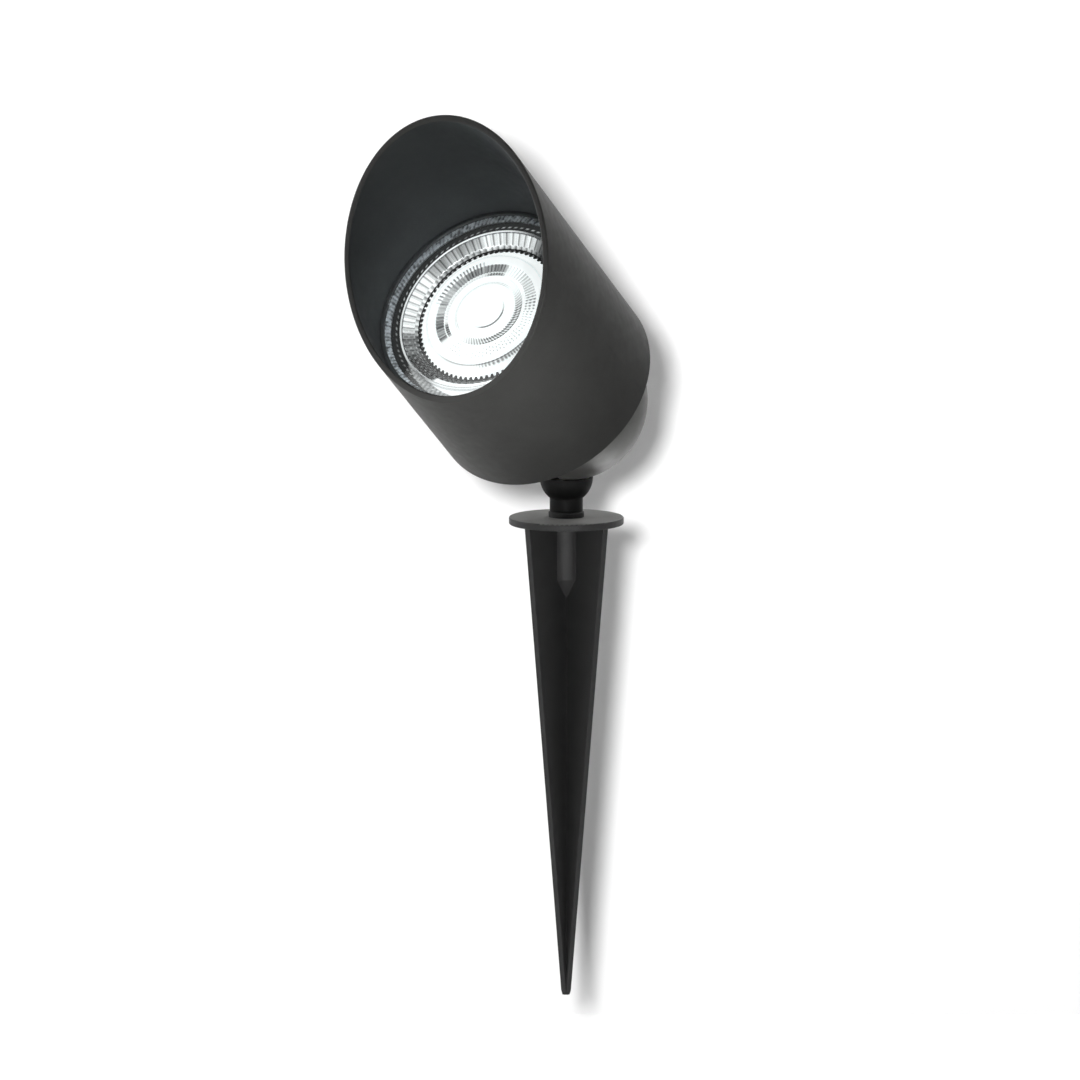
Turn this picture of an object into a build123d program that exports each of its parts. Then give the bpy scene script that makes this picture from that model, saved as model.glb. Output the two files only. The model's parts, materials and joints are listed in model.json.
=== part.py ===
from build123d import *
import os
from math import cos, radians, sin, sqrt

# Light projector stake: a garden spotlight whose hooded head swivels on a ground spike.
# Millimetres. +Z runs up the stake, and the origin is the centre of the spike's flange on its
# underside, which is ground level. The head points along -Y and is tilted up.
# Lengths called "ahead" run along the hood's axis, forwards from the swivel's centre.
# "Depth" in the swivel runs from its centre outwards, towards the stem.

os.makedirs("parts", exist_ok=True)

# ---------------------------------------------------------------- driving dimensions
# pose at rest
head_rise = 37.3  # hood axis above the horizontal, degrees
rib_turn = -14.6  # first pair of ribs, turned about Z from +X, degrees

# ground spike
flange_dia = 31.4
flange_thick = 2.0
flange_round = 0.35
spike_length = 131.0  # below the flange's underside
rib_thick = 1.8
rib_reach = 15.1  # rib edge from the axis, under the flange
tip_reach = 1.0  # rib edge from the axis, above the blunt point
tip_blunt = 1.2  # height of the blunt point
boss_dia = 9.0
boss_length = 15.0
boss_point = 7.5  # length of the cone that ends the boss
stud_room = 1.5  # free depth under the stem's stud

# threaded insert and stem
insert_dia = 6.4
insert_length = 10.0
stud_dia = 4.9
stud_length = 12.0  # below the neck
neck_dia = 9.1
neck_top = 8.2  # above the ground, where the cup begins
cup_dia = 14.6
washer_dia = 9.7
washer_thick = 1.6
washer_round = 0.4

# dome swivel
swivel_height = 34.2  # centre of the dome above the ground
dome_radius = 22.2
dome_wall = 2.0
slot_width = 4.6
lowest_rise = 12.0  # hood axis above the horizontal at the slot's ends, degrees
highest_rise = 90.0
dome_gap = 0.3  # between the dome and what slides on it, inside and out
liner_thick = 0.8
liner_dia = 12.6
clamp_dia = 3.9  # M4 screw
clamp_hole = 4.0
clamp_reach = 7.2  # thread in the stem, below the cup
clamp_head_dia = 7.0
clamp_head_height = 4.0
clamp_key = 3.0  # across flats
clamp_key_depth = 2.0
clamp_head_round = 0.4
clamp_chamfer = 0.4
cap_washer_dia = 13.0
cap_washer_thick = 0.8
lock_washer_dia = 7.6
lock_washer_thick = 1.0
lock_washer_cut = 0.9

# hood
hood_dia = 63.0
hood_wall = 1.7
hood_drop = 3.3  # hood axis below the swivel's centre, square to the axis
hood_start = 13.15  # rear rim, ahead of the swivel's centre
hood_length = 64.5  # along the axis, rear rim to the slanting cut
cut_slope = 0.685  # rise of the cut per unit of radius
lip_round = 0.4
shoulder_thick = 2.0
shoulder_clearance = 0.3  # radial, round the lamp's throat
screw_post_dia = 7.4
screw_post_weld = 0.2  # radial depth of each post in the hood's wall
screw_post_length = 18.0
post_angles = (20, 160, 270)  # about the hood's axis, from +X

# rear housing
plate_thick = 5.0
plate_clearance = 0.2  # radial, in the hood
seal_groove_width = 2.0
seal_groove_depth = 1.3
seal_gap = 0.01
plate_screw_dia = 2.9  # M3 countersunk
plate_screw_length = 16.0
plate_screw_head_dia = 5.4
plate_screw_key = 2.0  # across flats
plate_screw_key_depth = 1.0
plate_screw_sink = 0.05  # head below the plate's face

# front glass and its rings
trim_thick = 2.5
trim_bevel = 0.8
trim_clearance = 0.4  # radial, round the lamp's rim
gasket_thick = 0.9
gasket_width = 2.2  # radial
glass_thick = 1.5
glass_chamfer = 0.2
glass_clearance = 0.5  # radial, in the hood
ring_width = 0.9  # radial
ring_thick = 0.9
ring_clearance = 0.1  # radial, the trim ring, gasket and retaining ring in the hood
key_notch_width = 3.0
key_notch_depth = 0.4

# reflector lamp, 50 mm face and two-pin base
lamp_rim_dia = 50.0
lamp_rim_thick = 3.0
lamp_throat_dia = 47.8
lamp_neck_dia = 21.0
lamp_neck_length = 8.0  # base's top to the start of the bowl
lamp_length = 45.6  # rim's face to the base's end
lamp_wall = 1.2
bowl_middle_depth = 0.55  # middle of the bowl's curve, as a share of its depth
bowl_middle_reach = 0.72  # and as a share of its widening
rim_lip = 0.8  # radial, round the facet ring
facet_width = 4.2  # radial
facet_depth = 3.5
facet_thick = 0.8
lens_clearance = 0.3  # radial, in the facet ring
lens_face_dia = 34.8
lens_rise = 3.3  # lens face over its rim
lens_rim = 1.2
lens_inset = 0.2  # lens face behind the rim's face
lens_neck_dia = 13.0
lens_pocket_dia = 8.0
lens_pocket_depth = 2.5
board_dia = 18.0
board_thick = 1.6
chip_side = 6.0
chip_thick = 1.0
chip_round = 0.6
base_width = 20.0
base_depth = 10.0
base_length = 8.0
base_round = 2.0
pin_dia = 1.5
pin_pitch = 5.3
pin_length = 7.2
pin_seat = 3.0

# lampholder and its bracket
holder_width = 17.0
holder_depth = 9.4
holder_length = 9.8
holder_round = 1.5
holder_room = 15.9  # dome's inner pole to the lampholder's back
holder_gap = 0.2  # between lamp base and holder
sleeve_dia = 2.8
sleeve_length = 6.5
sleeve_gap = 0.03
holder_screw_dia = 2.4
holder_screw_x = 6.4
holder_head_dia = 3.5
strap_thick = 1.0
strap_width = 8.0
strap_dome_gap = 1.2  # radial, the strap's knees in the dome's bore
strap_end_gap = 2.0  # radial, the strap's ends inside the plate's edge
strap_back_margin = 2.0  # the strap's back, past the lampholder on each side
strap_screw_edge = 3.2  # from the strap's end
strap_screw_dia = 2.4
strap_screw_depth = 4.0
small_head_dia = 4.4
small_head_height = 1.6

# terminal block on the strap's tab, and the lamp's two leads
tab_margin = 1.3  # past the terminal block on each side
terminal_width = 11.4
terminal_height = 6.4
terminal_depth = 7.6
terminal_round = 0.6
terminal_rise = 8.0  # underside above the hood's axis
terminal_hole = 2.4
terminal_screw_dia = 3.0
terminal_screw_depth = 2.2
terminal_screw_length = 1.8
terminal_slot = 0.6
lead_dia = 1.2
lead_grip = 1.6  # depth in the terminal block

# cable gland, in the dome's upper rear
gland_angle = 50.0  # from the dome's rear pole, upwards, degrees
gland_thread_dia = 8.0
gland_bore = 5.2
gland_flats = 11.0
gland_hex_height = 3.5
gland_spigot_dia = 8.4
gland_spigot_height = 5.0
gland_inside = 4.7  # depth that the thread reaches in past the dome's wall
gland_boss_dia = 14.0
gland_boss_height = 1.2
seal_dia = 6.8
seal_bore = 4.6
seal_length = 4.7
cap_dia = 10.8
cap_wall_front = 2.2
cap_round = 1.1
cap_hole = 5.6
thread_clearance = 0.05
locknut_thick = 2.8

hole_clearance = 0.05  # radial, where a screw passes through or into a piece
cut_past = 1.0  # how far a cutting tool runs past the face that it comes out of

# ---------------------------------------------------------------- frames
swivel = Vector(0, 0, swivel_height)
ahead = Vector(0, -cos(radians(head_rise)), sin(radians(head_rise)))
above = Vector(0, sin(radians(head_rise)), cos(radians(head_rise)))
hood_root = swivel - above * hood_drop

stake_axis = Axis.Z
swivel_axis = Axis(swivel, (1, 0, 0))
dome_axis = Axis(swivel, ahead)
hood_axis = Axis(hood_root, ahead)

# local x, y, z of these planes: across, above, ahead
hood_plane = Plane(hood_root, x_dir=(1, 0, 0), z_dir=ahead)
dome_plane = Plane(swivel, x_dir=(1, 0, 0), z_dir=ahead)
# local x, y: radius, ahead
hood_side = Plane(hood_root, x_dir=above, z_dir=(1, 0, 0))
dome_side = Plane(swivel, x_dir=above, z_dir=(1, 0, 0))
# local x, y: radius, up the stake, from the swivel's centre
stem_side = Plane(swivel, x_dir=(1, 0, 0), z_dir=(0, -1, 0))


def dome_plane_at(angle):
    """Plane on the swivel's centre whose z points out of the dome, `angle` degrees from its
    rear pole towards the underside; a negative angle is towards the top."""
    out = ahead * -cos(radians(angle)) - above * sin(radians(angle))
    return Plane(swivel, x_dir=(1, 0, 0), z_dir=out)


def outline(plane, points):
    """Closed polygon on a plane."""
    with BuildSketch(plane) as sketch:
        with BuildLine():
            Polyline(*points, close=True)
        make_face()
    return sketch.sketch


def below_centre(radius, reach):
    """Height, from the swivel's centre, of the sphere's underside at `reach` from the stem."""
    return -sqrt(radius**2 - reach**2)


def cap_section(inner, outer, hole, reach):
    """Half section of a spherical cap round the swivel's centre, with a central hole."""
    middle = (hole + reach) / 2
    with BuildSketch(stem_side) as sketch:
        with BuildLine():
            ThreePointArc(
                (hole, below_centre(outer, hole)),
                (middle, below_centre(outer, middle)),
                (reach, below_centre(outer, reach)),
            )
            Line((reach, below_centre(outer, reach)), (reach, below_centre(inner, reach)))
            ThreePointArc(
                (reach, below_centre(inner, reach)),
                (middle, below_centre(inner, middle)),
                (hole, below_centre(inner, hole)),
            )
            Line((hole, below_centre(inner, hole)), (hole, below_centre(outer, hole)))
        make_face()
    return sketch.sketch


def dome_section(radius, front):
    """Half section of a solid dome: a hemisphere behind a straight skirt that ends at `front`."""
    slant = radius * cos(radians(45))
    with BuildSketch(dome_side) as sketch:
        with BuildLine():
            ThreePointArc((0, -radius), (slant, -slant), (radius, 0))
            Polyline((radius, 0), (radius, front), (0, front), (0, -radius))
        make_face()
    return sketch.sketch


# ---------------------------------------------------------------- ground spike
stem_base = flange_thick + washer_thick
stud_end = stem_base - stud_length
insert_bottom = flange_thick - insert_length

with BuildPart() as ground_spike:
    with BuildSketch():
        Circle(flange_dia / 2)
    extrude(amount=flange_thick)
    fillet(ground_spike.edges().filter_by(GeomType.CIRCLE), radius=flange_round)
    for turn in (rib_turn, rib_turn + 90):
        rib_plane = Plane.XZ.rotated((0, 0, turn))
        with BuildSketch(rib_plane):
            with BuildLine():
                Polyline(
                    (rib_reach, 0),
                    (tip_reach, tip_blunt - spike_length),
                    (tip_reach / 2, -spike_length),
                    (-tip_reach / 2, -spike_length),
                    (-tip_reach, tip_blunt - spike_length),
                    (-rib_reach, 0),
                    close=True,
                )
            make_face()
        extrude(amount=rib_thick / 2, both=True)
    revolve(
        outline(
            Plane.XZ,
            [
                (0, flange_thick / 2),
                (boss_dia / 2, flange_thick / 2),
                (boss_dia / 2, -boss_length),
                (0, -boss_length - boss_point),
            ],
        ),
        axis=stake_axis,
    )
    with Locations((0, 0, flange_thick)):
        Hole(insert_dia / 2, depth=insert_length)
        Hole(stud_dia / 2 + hole_clearance, depth=flange_thick - stud_end + stud_room)

with BuildPart() as threaded_insert:
    with BuildSketch(Plane.XY.offset(insert_bottom)):
        Circle(insert_dia / 2)
        Circle(stud_dia / 2 + hole_clearance, mode=Mode.SUBTRACT)
    extrude(amount=insert_length)

with BuildPart() as stem_washer:
    with BuildSketch(Plane.XY.offset(flange_thick)):
        Circle(washer_dia / 2)
        Circle(stud_dia / 2 + hole_clearance, mode=Mode.SUBTRACT)
    extrude(amount=washer_thick - hole_clearance)
    top_edges = stem_washer.edges().group_by(Axis.Z)[-1]
    fillet(top_edges.sort_by(SortBy.LENGTH)[-1], radius=washer_round)

# ---------------------------------------------------------------- swivel stem
cup_seat = dome_radius + dome_gap
liner_outer = cup_seat + liner_thick
rim_height = swivel_height + below_centre(cup_seat, cup_dia / 2)
cup_drop = sqrt((cup_dia / 2) ** 2 - (neck_dia / 2) ** 2)
bowl_middle = (cup_dia / 2) * cos(radians(30))
cup_floor = swivel_height - liner_outer
stem_hole_end = cup_floor - clamp_reach

with BuildPart() as swivel_stem:
    with BuildSketch(Plane.XZ):
        with BuildLine():
            Polyline(
                (0, rim_height),
                (0, stud_end),
                (stud_dia / 2, stud_end),
                (stud_dia / 2, stem_base),
                (neck_dia / 2, stem_base),
                (neck_dia / 2, rim_height - cup_drop),
            )
            ThreePointArc(
                (neck_dia / 2, rim_height - cup_drop),
                (bowl_middle, rim_height - (cup_dia / 2) * sin(radians(30))),
                (cup_dia / 2, rim_height),
            )
            Line((cup_dia / 2, rim_height), (0, rim_height))
        make_face()
    revolve(axis=stake_axis)
    with Locations(swivel):
        Sphere(cup_seat, mode=Mode.SUBTRACT)
    revolve(
        cap_section(cup_seat - liner_thick, liner_outer, 0, liner_dia / 2),
        axis=stake_axis,
        mode=Mode.SUBTRACT,
    )
    with BuildSketch(Plane.XY.offset(stem_hole_end)):
        Circle(clamp_hole / 2)
    extrude(until=Until.LAST, mode=Mode.SUBTRACT)

washer_hole_radius = clamp_hole / 2 + hole_clearance
with BuildPart() as friction_liner:
    revolve(
        cap_section(cup_seat, liner_outer, washer_hole_radius, liner_dia / 2), axis=stake_axis
    )

dome_bore = dome_radius - dome_wall
cap_outer = dome_bore - dome_gap
cap_inner = cap_outer - cap_washer_thick
with BuildPart() as cap_washer:
    revolve(
        cap_section(cap_inner, cap_outer, washer_hole_radius, cap_washer_dia / 2), axis=stake_axis
    )

lock_washer_bottom = swivel_height + below_centre(cap_inner, lock_washer_dia / 2)
clamp_head_bottom = lock_washer_bottom + lock_washer_thick
with BuildPart() as lock_washer:
    with BuildSketch(Plane.XY.offset(lock_washer_bottom)):
        Circle(lock_washer_dia / 2)
        Circle(washer_hole_radius, mode=Mode.SUBTRACT)
        with Locations((lock_washer_dia / 2, 0)):
            Rectangle(lock_washer_dia, lock_washer_cut, mode=Mode.SUBTRACT)
    extrude(amount=lock_washer_thick)

with BuildPart() as clamp_screw:
    with BuildSketch(Plane.XY.offset(clamp_head_bottom)):
        Circle(clamp_head_dia / 2)
    extrude(amount=clamp_head_height)
    fillet(clamp_screw.edges().group_by(Axis.Z)[-1], radius=clamp_head_round)
    with BuildSketch(Plane.XY.offset(clamp_head_bottom + clamp_head_height)):
        RegularPolygon(clamp_key / 2, 6, major_radius=False)
    extrude(amount=-clamp_key_depth, mode=Mode.SUBTRACT)
    with BuildSketch(Plane.XY.offset(clamp_head_bottom)):
        Circle(clamp_dia / 2)
    extrude(amount=stem_hole_end + hole_clearance - clamp_head_bottom)
    chamfer(clamp_screw.edges().group_by(Axis.Z)[0], length=clamp_chamfer)

# ---------------------------------------------------------------- places along the hood's axis
# the lampholder clears the dome's rear, the lamp plugs into it, and the trim ring, gasket, glass
# and retaining ring lie on the hood's shoulder in front of the lamp
holder_back = holder_room - dome_bore
holder_front = holder_back + holder_length
base_end = holder_front + holder_gap
base_top = base_end + base_length
neck_end = base_top + lamp_neck_length
rim_face = base_end + lamp_length
stack_start = rim_face - lamp_rim_thick
shoulder_ahead = stack_start - shoulder_thick
gasket_start = stack_start + trim_thick
glass_start = gasket_start + gasket_thick
ring_start = glass_start + glass_thick

# ---------------------------------------------------------------- hood
hood_radius = hood_dia / 2
hood_bore = hood_radius - hood_wall
cut_ahead = hood_start + hood_length
cut_centre = hood_root + ahead * cut_ahead
cut_plane = Plane(cut_centre, x_dir=(1, 0, 0), z_dir=ahead - above * cut_slope)
post_start = hood_start + plate_thick
post_radius = hood_bore + screw_post_weld - screw_post_dia / 2
post_places = [
    (post_radius * cos(radians(angle)), post_radius * sin(radians(angle))) for angle in post_angles
]

with BuildPart() as hood_tube:
    with BuildSketch(hood_plane.offset(hood_start)):
        Circle(hood_radius)
        Circle(hood_bore, mode=Mode.SUBTRACT)
    extrude(amount=hood_length + 2 * hood_radius * cut_slope)
    split(bisect_by=cut_plane, keep=Keep.BOTTOM)
    fillet(hood_tube.edges().filter_by(GeomType.ELLIPSE), radius=lip_round)
    with BuildSketch(hood_plane.offset(shoulder_ahead)):
        Circle(hood_radius - hood_wall / 2)
        Circle(lamp_throat_dia / 2 + shoulder_clearance, mode=Mode.SUBTRACT)
    extrude(amount=shoulder_thick)
    with BuildSketch(hood_plane.offset(post_start)):
        with Locations(*post_places):
            Circle(screw_post_dia / 2)
    extrude(amount=screw_post_length)
    with BuildSketch(hood_plane.offset(post_start)):
        with Locations(*post_places):
            Circle(plate_screw_dia / 2 + hole_clearance)
    extrude(amount=screw_post_length, mode=Mode.SUBTRACT)

# ---------------------------------------------------------------- rear housing
plate_radius = hood_bore - plate_clearance
groove_floor = hood_bore - seal_groove_depth - plate_clearance
slot_start = 90 - highest_rise
slot_end = 90 - lowest_rise
wall_middle = dome_radius - dome_wall / 2
gland_plane = dome_plane_at(-gland_angle)
gland_seat = dome_radius + gland_boss_height
strap_end_x = plate_radius - strap_end_gap
strap_screw_x = strap_end_x - strap_screw_edge
strap_screw_places = [(strap_screw_x, 0), (-strap_screw_x, 0)]

with BuildPart() as rear_housing:
    with BuildSketch(hood_plane.offset(hood_start)):
        Circle(plate_radius)
    extrude(amount=plate_thick)
    revolve(dome_section(dome_radius, hood_start + plate_thick / 2), axis=dome_axis)
    with BuildSketch(gland_plane.offset(dome_bore)):
        Circle(gland_boss_dia / 2)
    extrude(amount=dome_wall + gland_boss_height)
    revolve(
        dome_section(dome_bore, hood_start + plate_thick + cut_past),
        axis=dome_axis,
        mode=Mode.SUBTRACT,
    )
    # O-ring groove round the plate
    revolve(
        outline(
            hood_side,
            [
                (groove_floor, hood_start + (plate_thick - seal_groove_width) / 2),
                (hood_radius, hood_start + (plate_thick - seal_groove_width) / 2),
                (hood_radius, hood_start + (plate_thick + seal_groove_width) / 2),
                (groove_floor, hood_start + (plate_thick + seal_groove_width) / 2),
            ],
        ),
        axis=hood_axis,
        mode=Mode.SUBTRACT,
    )
    # curved slot for the clamp screw, with round ends
    with BuildSketch(dome_plane_at(slot_end).rotated((90, 0, 0))):
        with Locations((0, wall_middle)):
            Rectangle(slot_width, dome_wall + 2 * cut_past)
    revolve(axis=swivel_axis, revolution_arc=slot_end - slot_start, mode=Mode.SUBTRACT)
    for angle in (slot_start, slot_end):
        with BuildSketch(dome_plane_at(angle).offset(dome_bore - cut_past)):
            Circle(slot_width / 2)
        extrude(amount=dome_wall + 2 * cut_past, mode=Mode.SUBTRACT)
    # gland hole, plate screws, strap screws
    with BuildSketch(gland_plane.offset(dome_bore - cut_past)):
        Circle(gland_thread_dia / 2 + thread_clearance)
    extrude(amount=gland_seat - dome_bore + 2 * cut_past, mode=Mode.SUBTRACT)
    with Locations(Plane(hood_root + ahead * hood_start, x_dir=(-1, 0, 0), z_dir=-ahead)):
        with Locations(*[(-x, y) for x, y in post_places]):
            CounterSinkHole(
                plate_screw_dia / 2 + hole_clearance,
                plate_screw_head_dia / 2 + hole_clearance,
                depth=plate_thick,
                counter_sink_angle=90,
            )
    with BuildSketch(hood_plane.offset(hood_start + plate_thick)):
        with Locations(*strap_screw_places):
            Circle(strap_screw_dia / 2 + hole_clearance)
    extrude(amount=-strap_screw_depth, mode=Mode.SUBTRACT)

seal_section = (seal_groove_depth + plate_clearance) / 2 - seal_gap
with BuildPart() as housing_seal:
    with BuildSketch(hood_side):
        with Locations((hood_bore - seal_section - seal_gap, hood_start + plate_thick / 2)):
            Circle(seal_section)
    revolve(axis=hood_axis)

plate_head_radius = plate_screw_head_dia / 2
plate_shank_radius = plate_screw_dia / 2
with BuildPart() as housing_screws:
    for x, y in post_places:
        place = hood_root + Vector(x, 0, 0) + above * y + ahead * hood_start
        screw_side = Plane(place, x_dir=(1, 0, 0), z_dir=-above)
        revolve(
            outline(
                screw_side,
                [
                    (0, plate_screw_sink),
                    (plate_head_radius, plate_screw_sink),
                    (plate_shank_radius, plate_screw_sink + plate_head_radius - plate_shank_radius),
                    (plate_shank_radius, plate_screw_length - plate_shank_radius),
                    (0, plate_screw_length),
                ],
            ),
            axis=Axis(place, ahead),
        )
    with BuildSketch(hood_plane.offset(hood_start)):
        with Locations(*post_places):
            RegularPolygon(plate_screw_key / 2, 6, major_radius=False)
    extrude(amount=plate_screw_sink + plate_screw_key_depth, mode=Mode.SUBTRACT)

# ---------------------------------------------------------------- glass stack
ring_radius = hood_bore - ring_clearance
ring_bore = 2 * (ring_radius - ring_width)

with BuildPart() as trim_ring:
    with BuildSketch(hood_plane.offset(stack_start)):
        Circle(ring_radius)
        Circle(lamp_rim_dia / 2 + trim_clearance, mode=Mode.SUBTRACT)
    extrude(amount=trim_thick)
    front_edges = trim_ring.edges().group_by(hood_axis)[-1]
    chamfer(front_edges.sort_by(SortBy.LENGTH)[0], length=trim_bevel)

with BuildPart() as glass_gasket:
    with BuildSketch(hood_plane.offset(gasket_start)):
        Circle(ring_radius)
        Circle(ring_radius - gasket_width, mode=Mode.SUBTRACT)
    extrude(amount=gasket_thick)

with BuildPart() as front_glass:
    with BuildSketch(hood_plane.offset(glass_start)):
        Circle(hood_bore - glass_clearance)
    extrude(amount=glass_thick)
    chamfer(front_glass.edges().filter_by(GeomType.CIRCLE), length=glass_chamfer)

with BuildPart() as retaining_ring:
    with BuildSketch(hood_plane.offset(ring_start)):
        Circle(ring_radius)
        Circle(ring_bore / 2, mode=Mode.SUBTRACT)
    extrude(amount=ring_thick)
    with BuildSketch(hood_plane.offset(ring_start + ring_thick)):
        with Locations((ring_bore / 2, 0), (-ring_bore / 2, 0)):
            Rectangle(2 * key_notch_depth, key_notch_width)
    extrude(amount=-ring_thick, mode=Mode.SUBTRACT)

# ---------------------------------------------------------------- reflector lamp
throat_radius = lamp_throat_dia / 2
lamp_neck = lamp_neck_dia / 2
bowl_middle = neck_end + (stack_start - neck_end) * bowl_middle_depth
bowl_radius = lamp_neck + (throat_radius - lamp_neck) * bowl_middle_reach
board_seat = neck_end + lamp_wall
lens_face = rim_face - lens_inset
facet_outer = lamp_rim_dia / 2 - rim_lip
facet_inner = facet_outer - facet_width
lens_radius = facet_inner - lens_clearance
lens_back = board_seat + board_thick + chip_thick + lens_pocket_depth

with BuildPart() as lamp_shell:
    with BuildSketch(hood_side):
        with BuildLine():
            Polyline(
                (throat_radius, stack_start),
                (lamp_rim_dia / 2, stack_start),
                (lamp_rim_dia / 2, rim_face),
                (facet_outer, rim_face),
                (facet_outer, stack_start + facet_thick),
                (throat_radius - lamp_wall, stack_start),
            )
            ThreePointArc(
                (throat_radius - lamp_wall, stack_start),
                (bowl_radius - lamp_wall, bowl_middle),
                (board_dia / 2, board_seat),
            )
            Polyline(
                (board_dia / 2, board_seat),
                (0, board_seat),
                (0, base_top),
                (lamp_neck, base_top),
                (lamp_neck, neck_end),
            )
            ThreePointArc(
                (lamp_neck, neck_end),
                (bowl_radius, bowl_middle),
                (throat_radius, stack_start),
            )
        make_face()
    revolve(axis=hood_axis)

with BuildPart() as lamp_facet_ring:
    revolve(
        outline(
            hood_side,
            [
                (facet_inner, lens_face - facet_depth),
                (facet_outer - hole_clearance, lens_face - facet_thick),
                (facet_outer - hole_clearance, lens_face),
                (facet_inner, lens_face - facet_depth + facet_thick),
            ],
        ),
        axis=hood_axis,
    )

with BuildPart() as lamp_lens:
    revolve(
        outline(
            hood_side,
            [
                (0, lens_face),
                (lens_face_dia / 2, lens_face),
                (lens_radius, lens_face - lens_rise),
                (lens_radius, lens_face - lens_rise - lens_rim),
                (lens_neck_dia / 2, lens_back - lens_pocket_depth + hole_clearance),
                (lens_pocket_dia / 2, lens_back - lens_pocket_depth + hole_clearance),
                (lens_pocket_dia / 2, lens_back),
                (0, lens_back),
            ],
        ),
        axis=hood_axis,
    )

with BuildPart() as led_board:
    with BuildSketch(hood_plane.offset(board_seat)):
        Circle(board_dia / 2 - hole_clearance)
    extrude(amount=board_thick)

with BuildPart() as led_chip:
    with BuildSketch(hood_plane.offset(board_seat + board_thick)):
        RectangleRounded(chip_side, chip_side, chip_round)
    extrude(amount=chip_thick)

pin_places = [(pin_pitch / 2, 0), (-pin_pitch / 2, 0)]
with BuildPart() as lamp_base:
    with BuildSketch(hood_plane.offset(base_end)):
        RectangleRounded(base_width, base_depth, base_round)
    extrude(amount=base_length)
    with BuildSketch(hood_plane.offset(base_end)):
        with Locations(*pin_places):
            Circle(pin_dia / 2)
    extrude(amount=pin_seat, mode=Mode.SUBTRACT)

with BuildPart() as lamp_pins:
    with BuildSketch(hood_plane.offset(base_end - pin_length)):
        with Locations(*pin_places):
            Circle(pin_dia / 2)
    extrude(amount=pin_length + pin_seat)

# ---------------------------------------------------------------- lampholder and strap
strap_back = holder_back - strap_thick / 2
foot_ahead = hood_start + plate_thick + strap_thick / 2
holder_screw_places = [(holder_screw_x, 0), (-holder_screw_x, 0)]
strap_back_x = holder_width / 2 + strap_back_margin
strap_knee_x = sqrt(dome_bore**2 - (hood_drop + strap_width / 2) ** 2) - strap_dome_gap
sleeve_back = holder_front - sleeve_length
small_head_radius = small_head_dia / 2
holder_head_radius = holder_head_dia / 2

with BuildPart() as lampholder:
    with BuildSketch(hood_plane.offset(holder_back)):
        RectangleRounded(holder_width, holder_depth, holder_round)
    extrude(amount=holder_length)
    with BuildSketch(hood_plane.offset(holder_front)):
        with Locations(*pin_places):
            Circle(sleeve_dia / 2 + sleeve_gap)
    extrude(amount=-sleeve_length, mode=Mode.SUBTRACT)
    with BuildSketch(hood_plane.offset(sleeve_back)):
        with Locations(*pin_places):
            Circle(pin_dia / 2 + hole_clearance)
    extrude(amount=-(pin_length - sleeve_length), mode=Mode.SUBTRACT)
    with BuildSketch(hood_plane.offset(holder_back)):
        with Locations(*holder_screw_places):
            Circle(holder_screw_dia / 2 + hole_clearance)
    extrude(amount=holder_length, mode=Mode.SUBTRACT)
    with BuildSketch(hood_plane.offset(holder_front)):
        with Locations(*holder_screw_places):
            Circle(holder_head_radius + hole_clearance)
    extrude(amount=-small_head_height, mode=Mode.SUBTRACT)

with BuildPart() as holder_sleeves:
    with BuildSketch(hood_plane.offset(sleeve_back)):
        with Locations(*pin_places):
            Circle(sleeve_dia / 2)
            Circle(pin_dia / 2 + sleeve_gap, mode=Mode.SUBTRACT)
    extrude(amount=sleeve_length - holder_gap)

with BuildPart() as holder_strap:
    with BuildSketch(Plane(hood_root, x_dir=(1, 0, 0), z_dir=-above)):
        with BuildLine():
            Polyline(
                (strap_end_x, foot_ahead),
                (strap_knee_x, foot_ahead),
                (strap_back_x, strap_back),
                (-strap_back_x, strap_back),
                (-strap_knee_x, foot_ahead),
                (-strap_end_x, foot_ahead),
            )
        trace(line_width=strap_thick)
    extrude(amount=strap_width / 2, both=True)
    with BuildSketch(hood_plane.offset(strap_back - strap_thick / 2)):
        with Locations((0, (terminal_rise + terminal_height) / 2)):
            Rectangle(terminal_width + 2 * tab_margin, terminal_rise + terminal_height)
    extrude(amount=strap_thick)
    with BuildSketch(hood_plane.offset(strap_back - strap_thick)):
        with Locations(*holder_screw_places):
            Circle(holder_screw_dia / 2 + hole_clearance)
    extrude(amount=2 * strap_thick, mode=Mode.SUBTRACT)
    with BuildSketch(hood_plane.offset(foot_ahead - strap_thick)):
        with Locations(*strap_screw_places):
            Circle(strap_screw_dia / 2 + hole_clearance)
    extrude(amount=2 * strap_thick, mode=Mode.SUBTRACT)

with BuildPart() as holder_screws:
    with BuildSketch(hood_plane.offset(strap_back - strap_thick)):
        with Locations(*holder_screw_places):
            Circle(holder_screw_dia / 2)
    extrude(amount=strap_thick * 1.5 + holder_length - small_head_height)
    with BuildSketch(hood_plane.offset(holder_front - small_head_height)):
        with Locations(*holder_screw_places):
            Circle(holder_head_radius)
            Rectangle(holder_head_dia, terminal_slot, mode=Mode.SUBTRACT)
    extrude(amount=small_head_height)

with BuildPart() as strap_screws:
    with BuildSketch(hood_plane.offset(hood_start + plate_thick + strap_thick)):
        with Locations(*strap_screw_places):
            Circle(strap_screw_dia / 2)
    extrude(amount=hole_clearance - strap_thick - strap_screw_depth)
    with BuildSketch(hood_plane.offset(hood_start + plate_thick + strap_thick)):
        with Locations(*strap_screw_places):
            Circle(small_head_radius)
    extrude(amount=small_head_height)
    with BuildSketch(hood_plane.offset(hood_start + plate_thick + strap_thick + small_head_height)):
        with Locations(*strap_screw_places):
            Rectangle(small_head_dia, terminal_slot)
    extrude(amount=-small_head_height / 2, mode=Mode.SUBTRACT)

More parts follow.
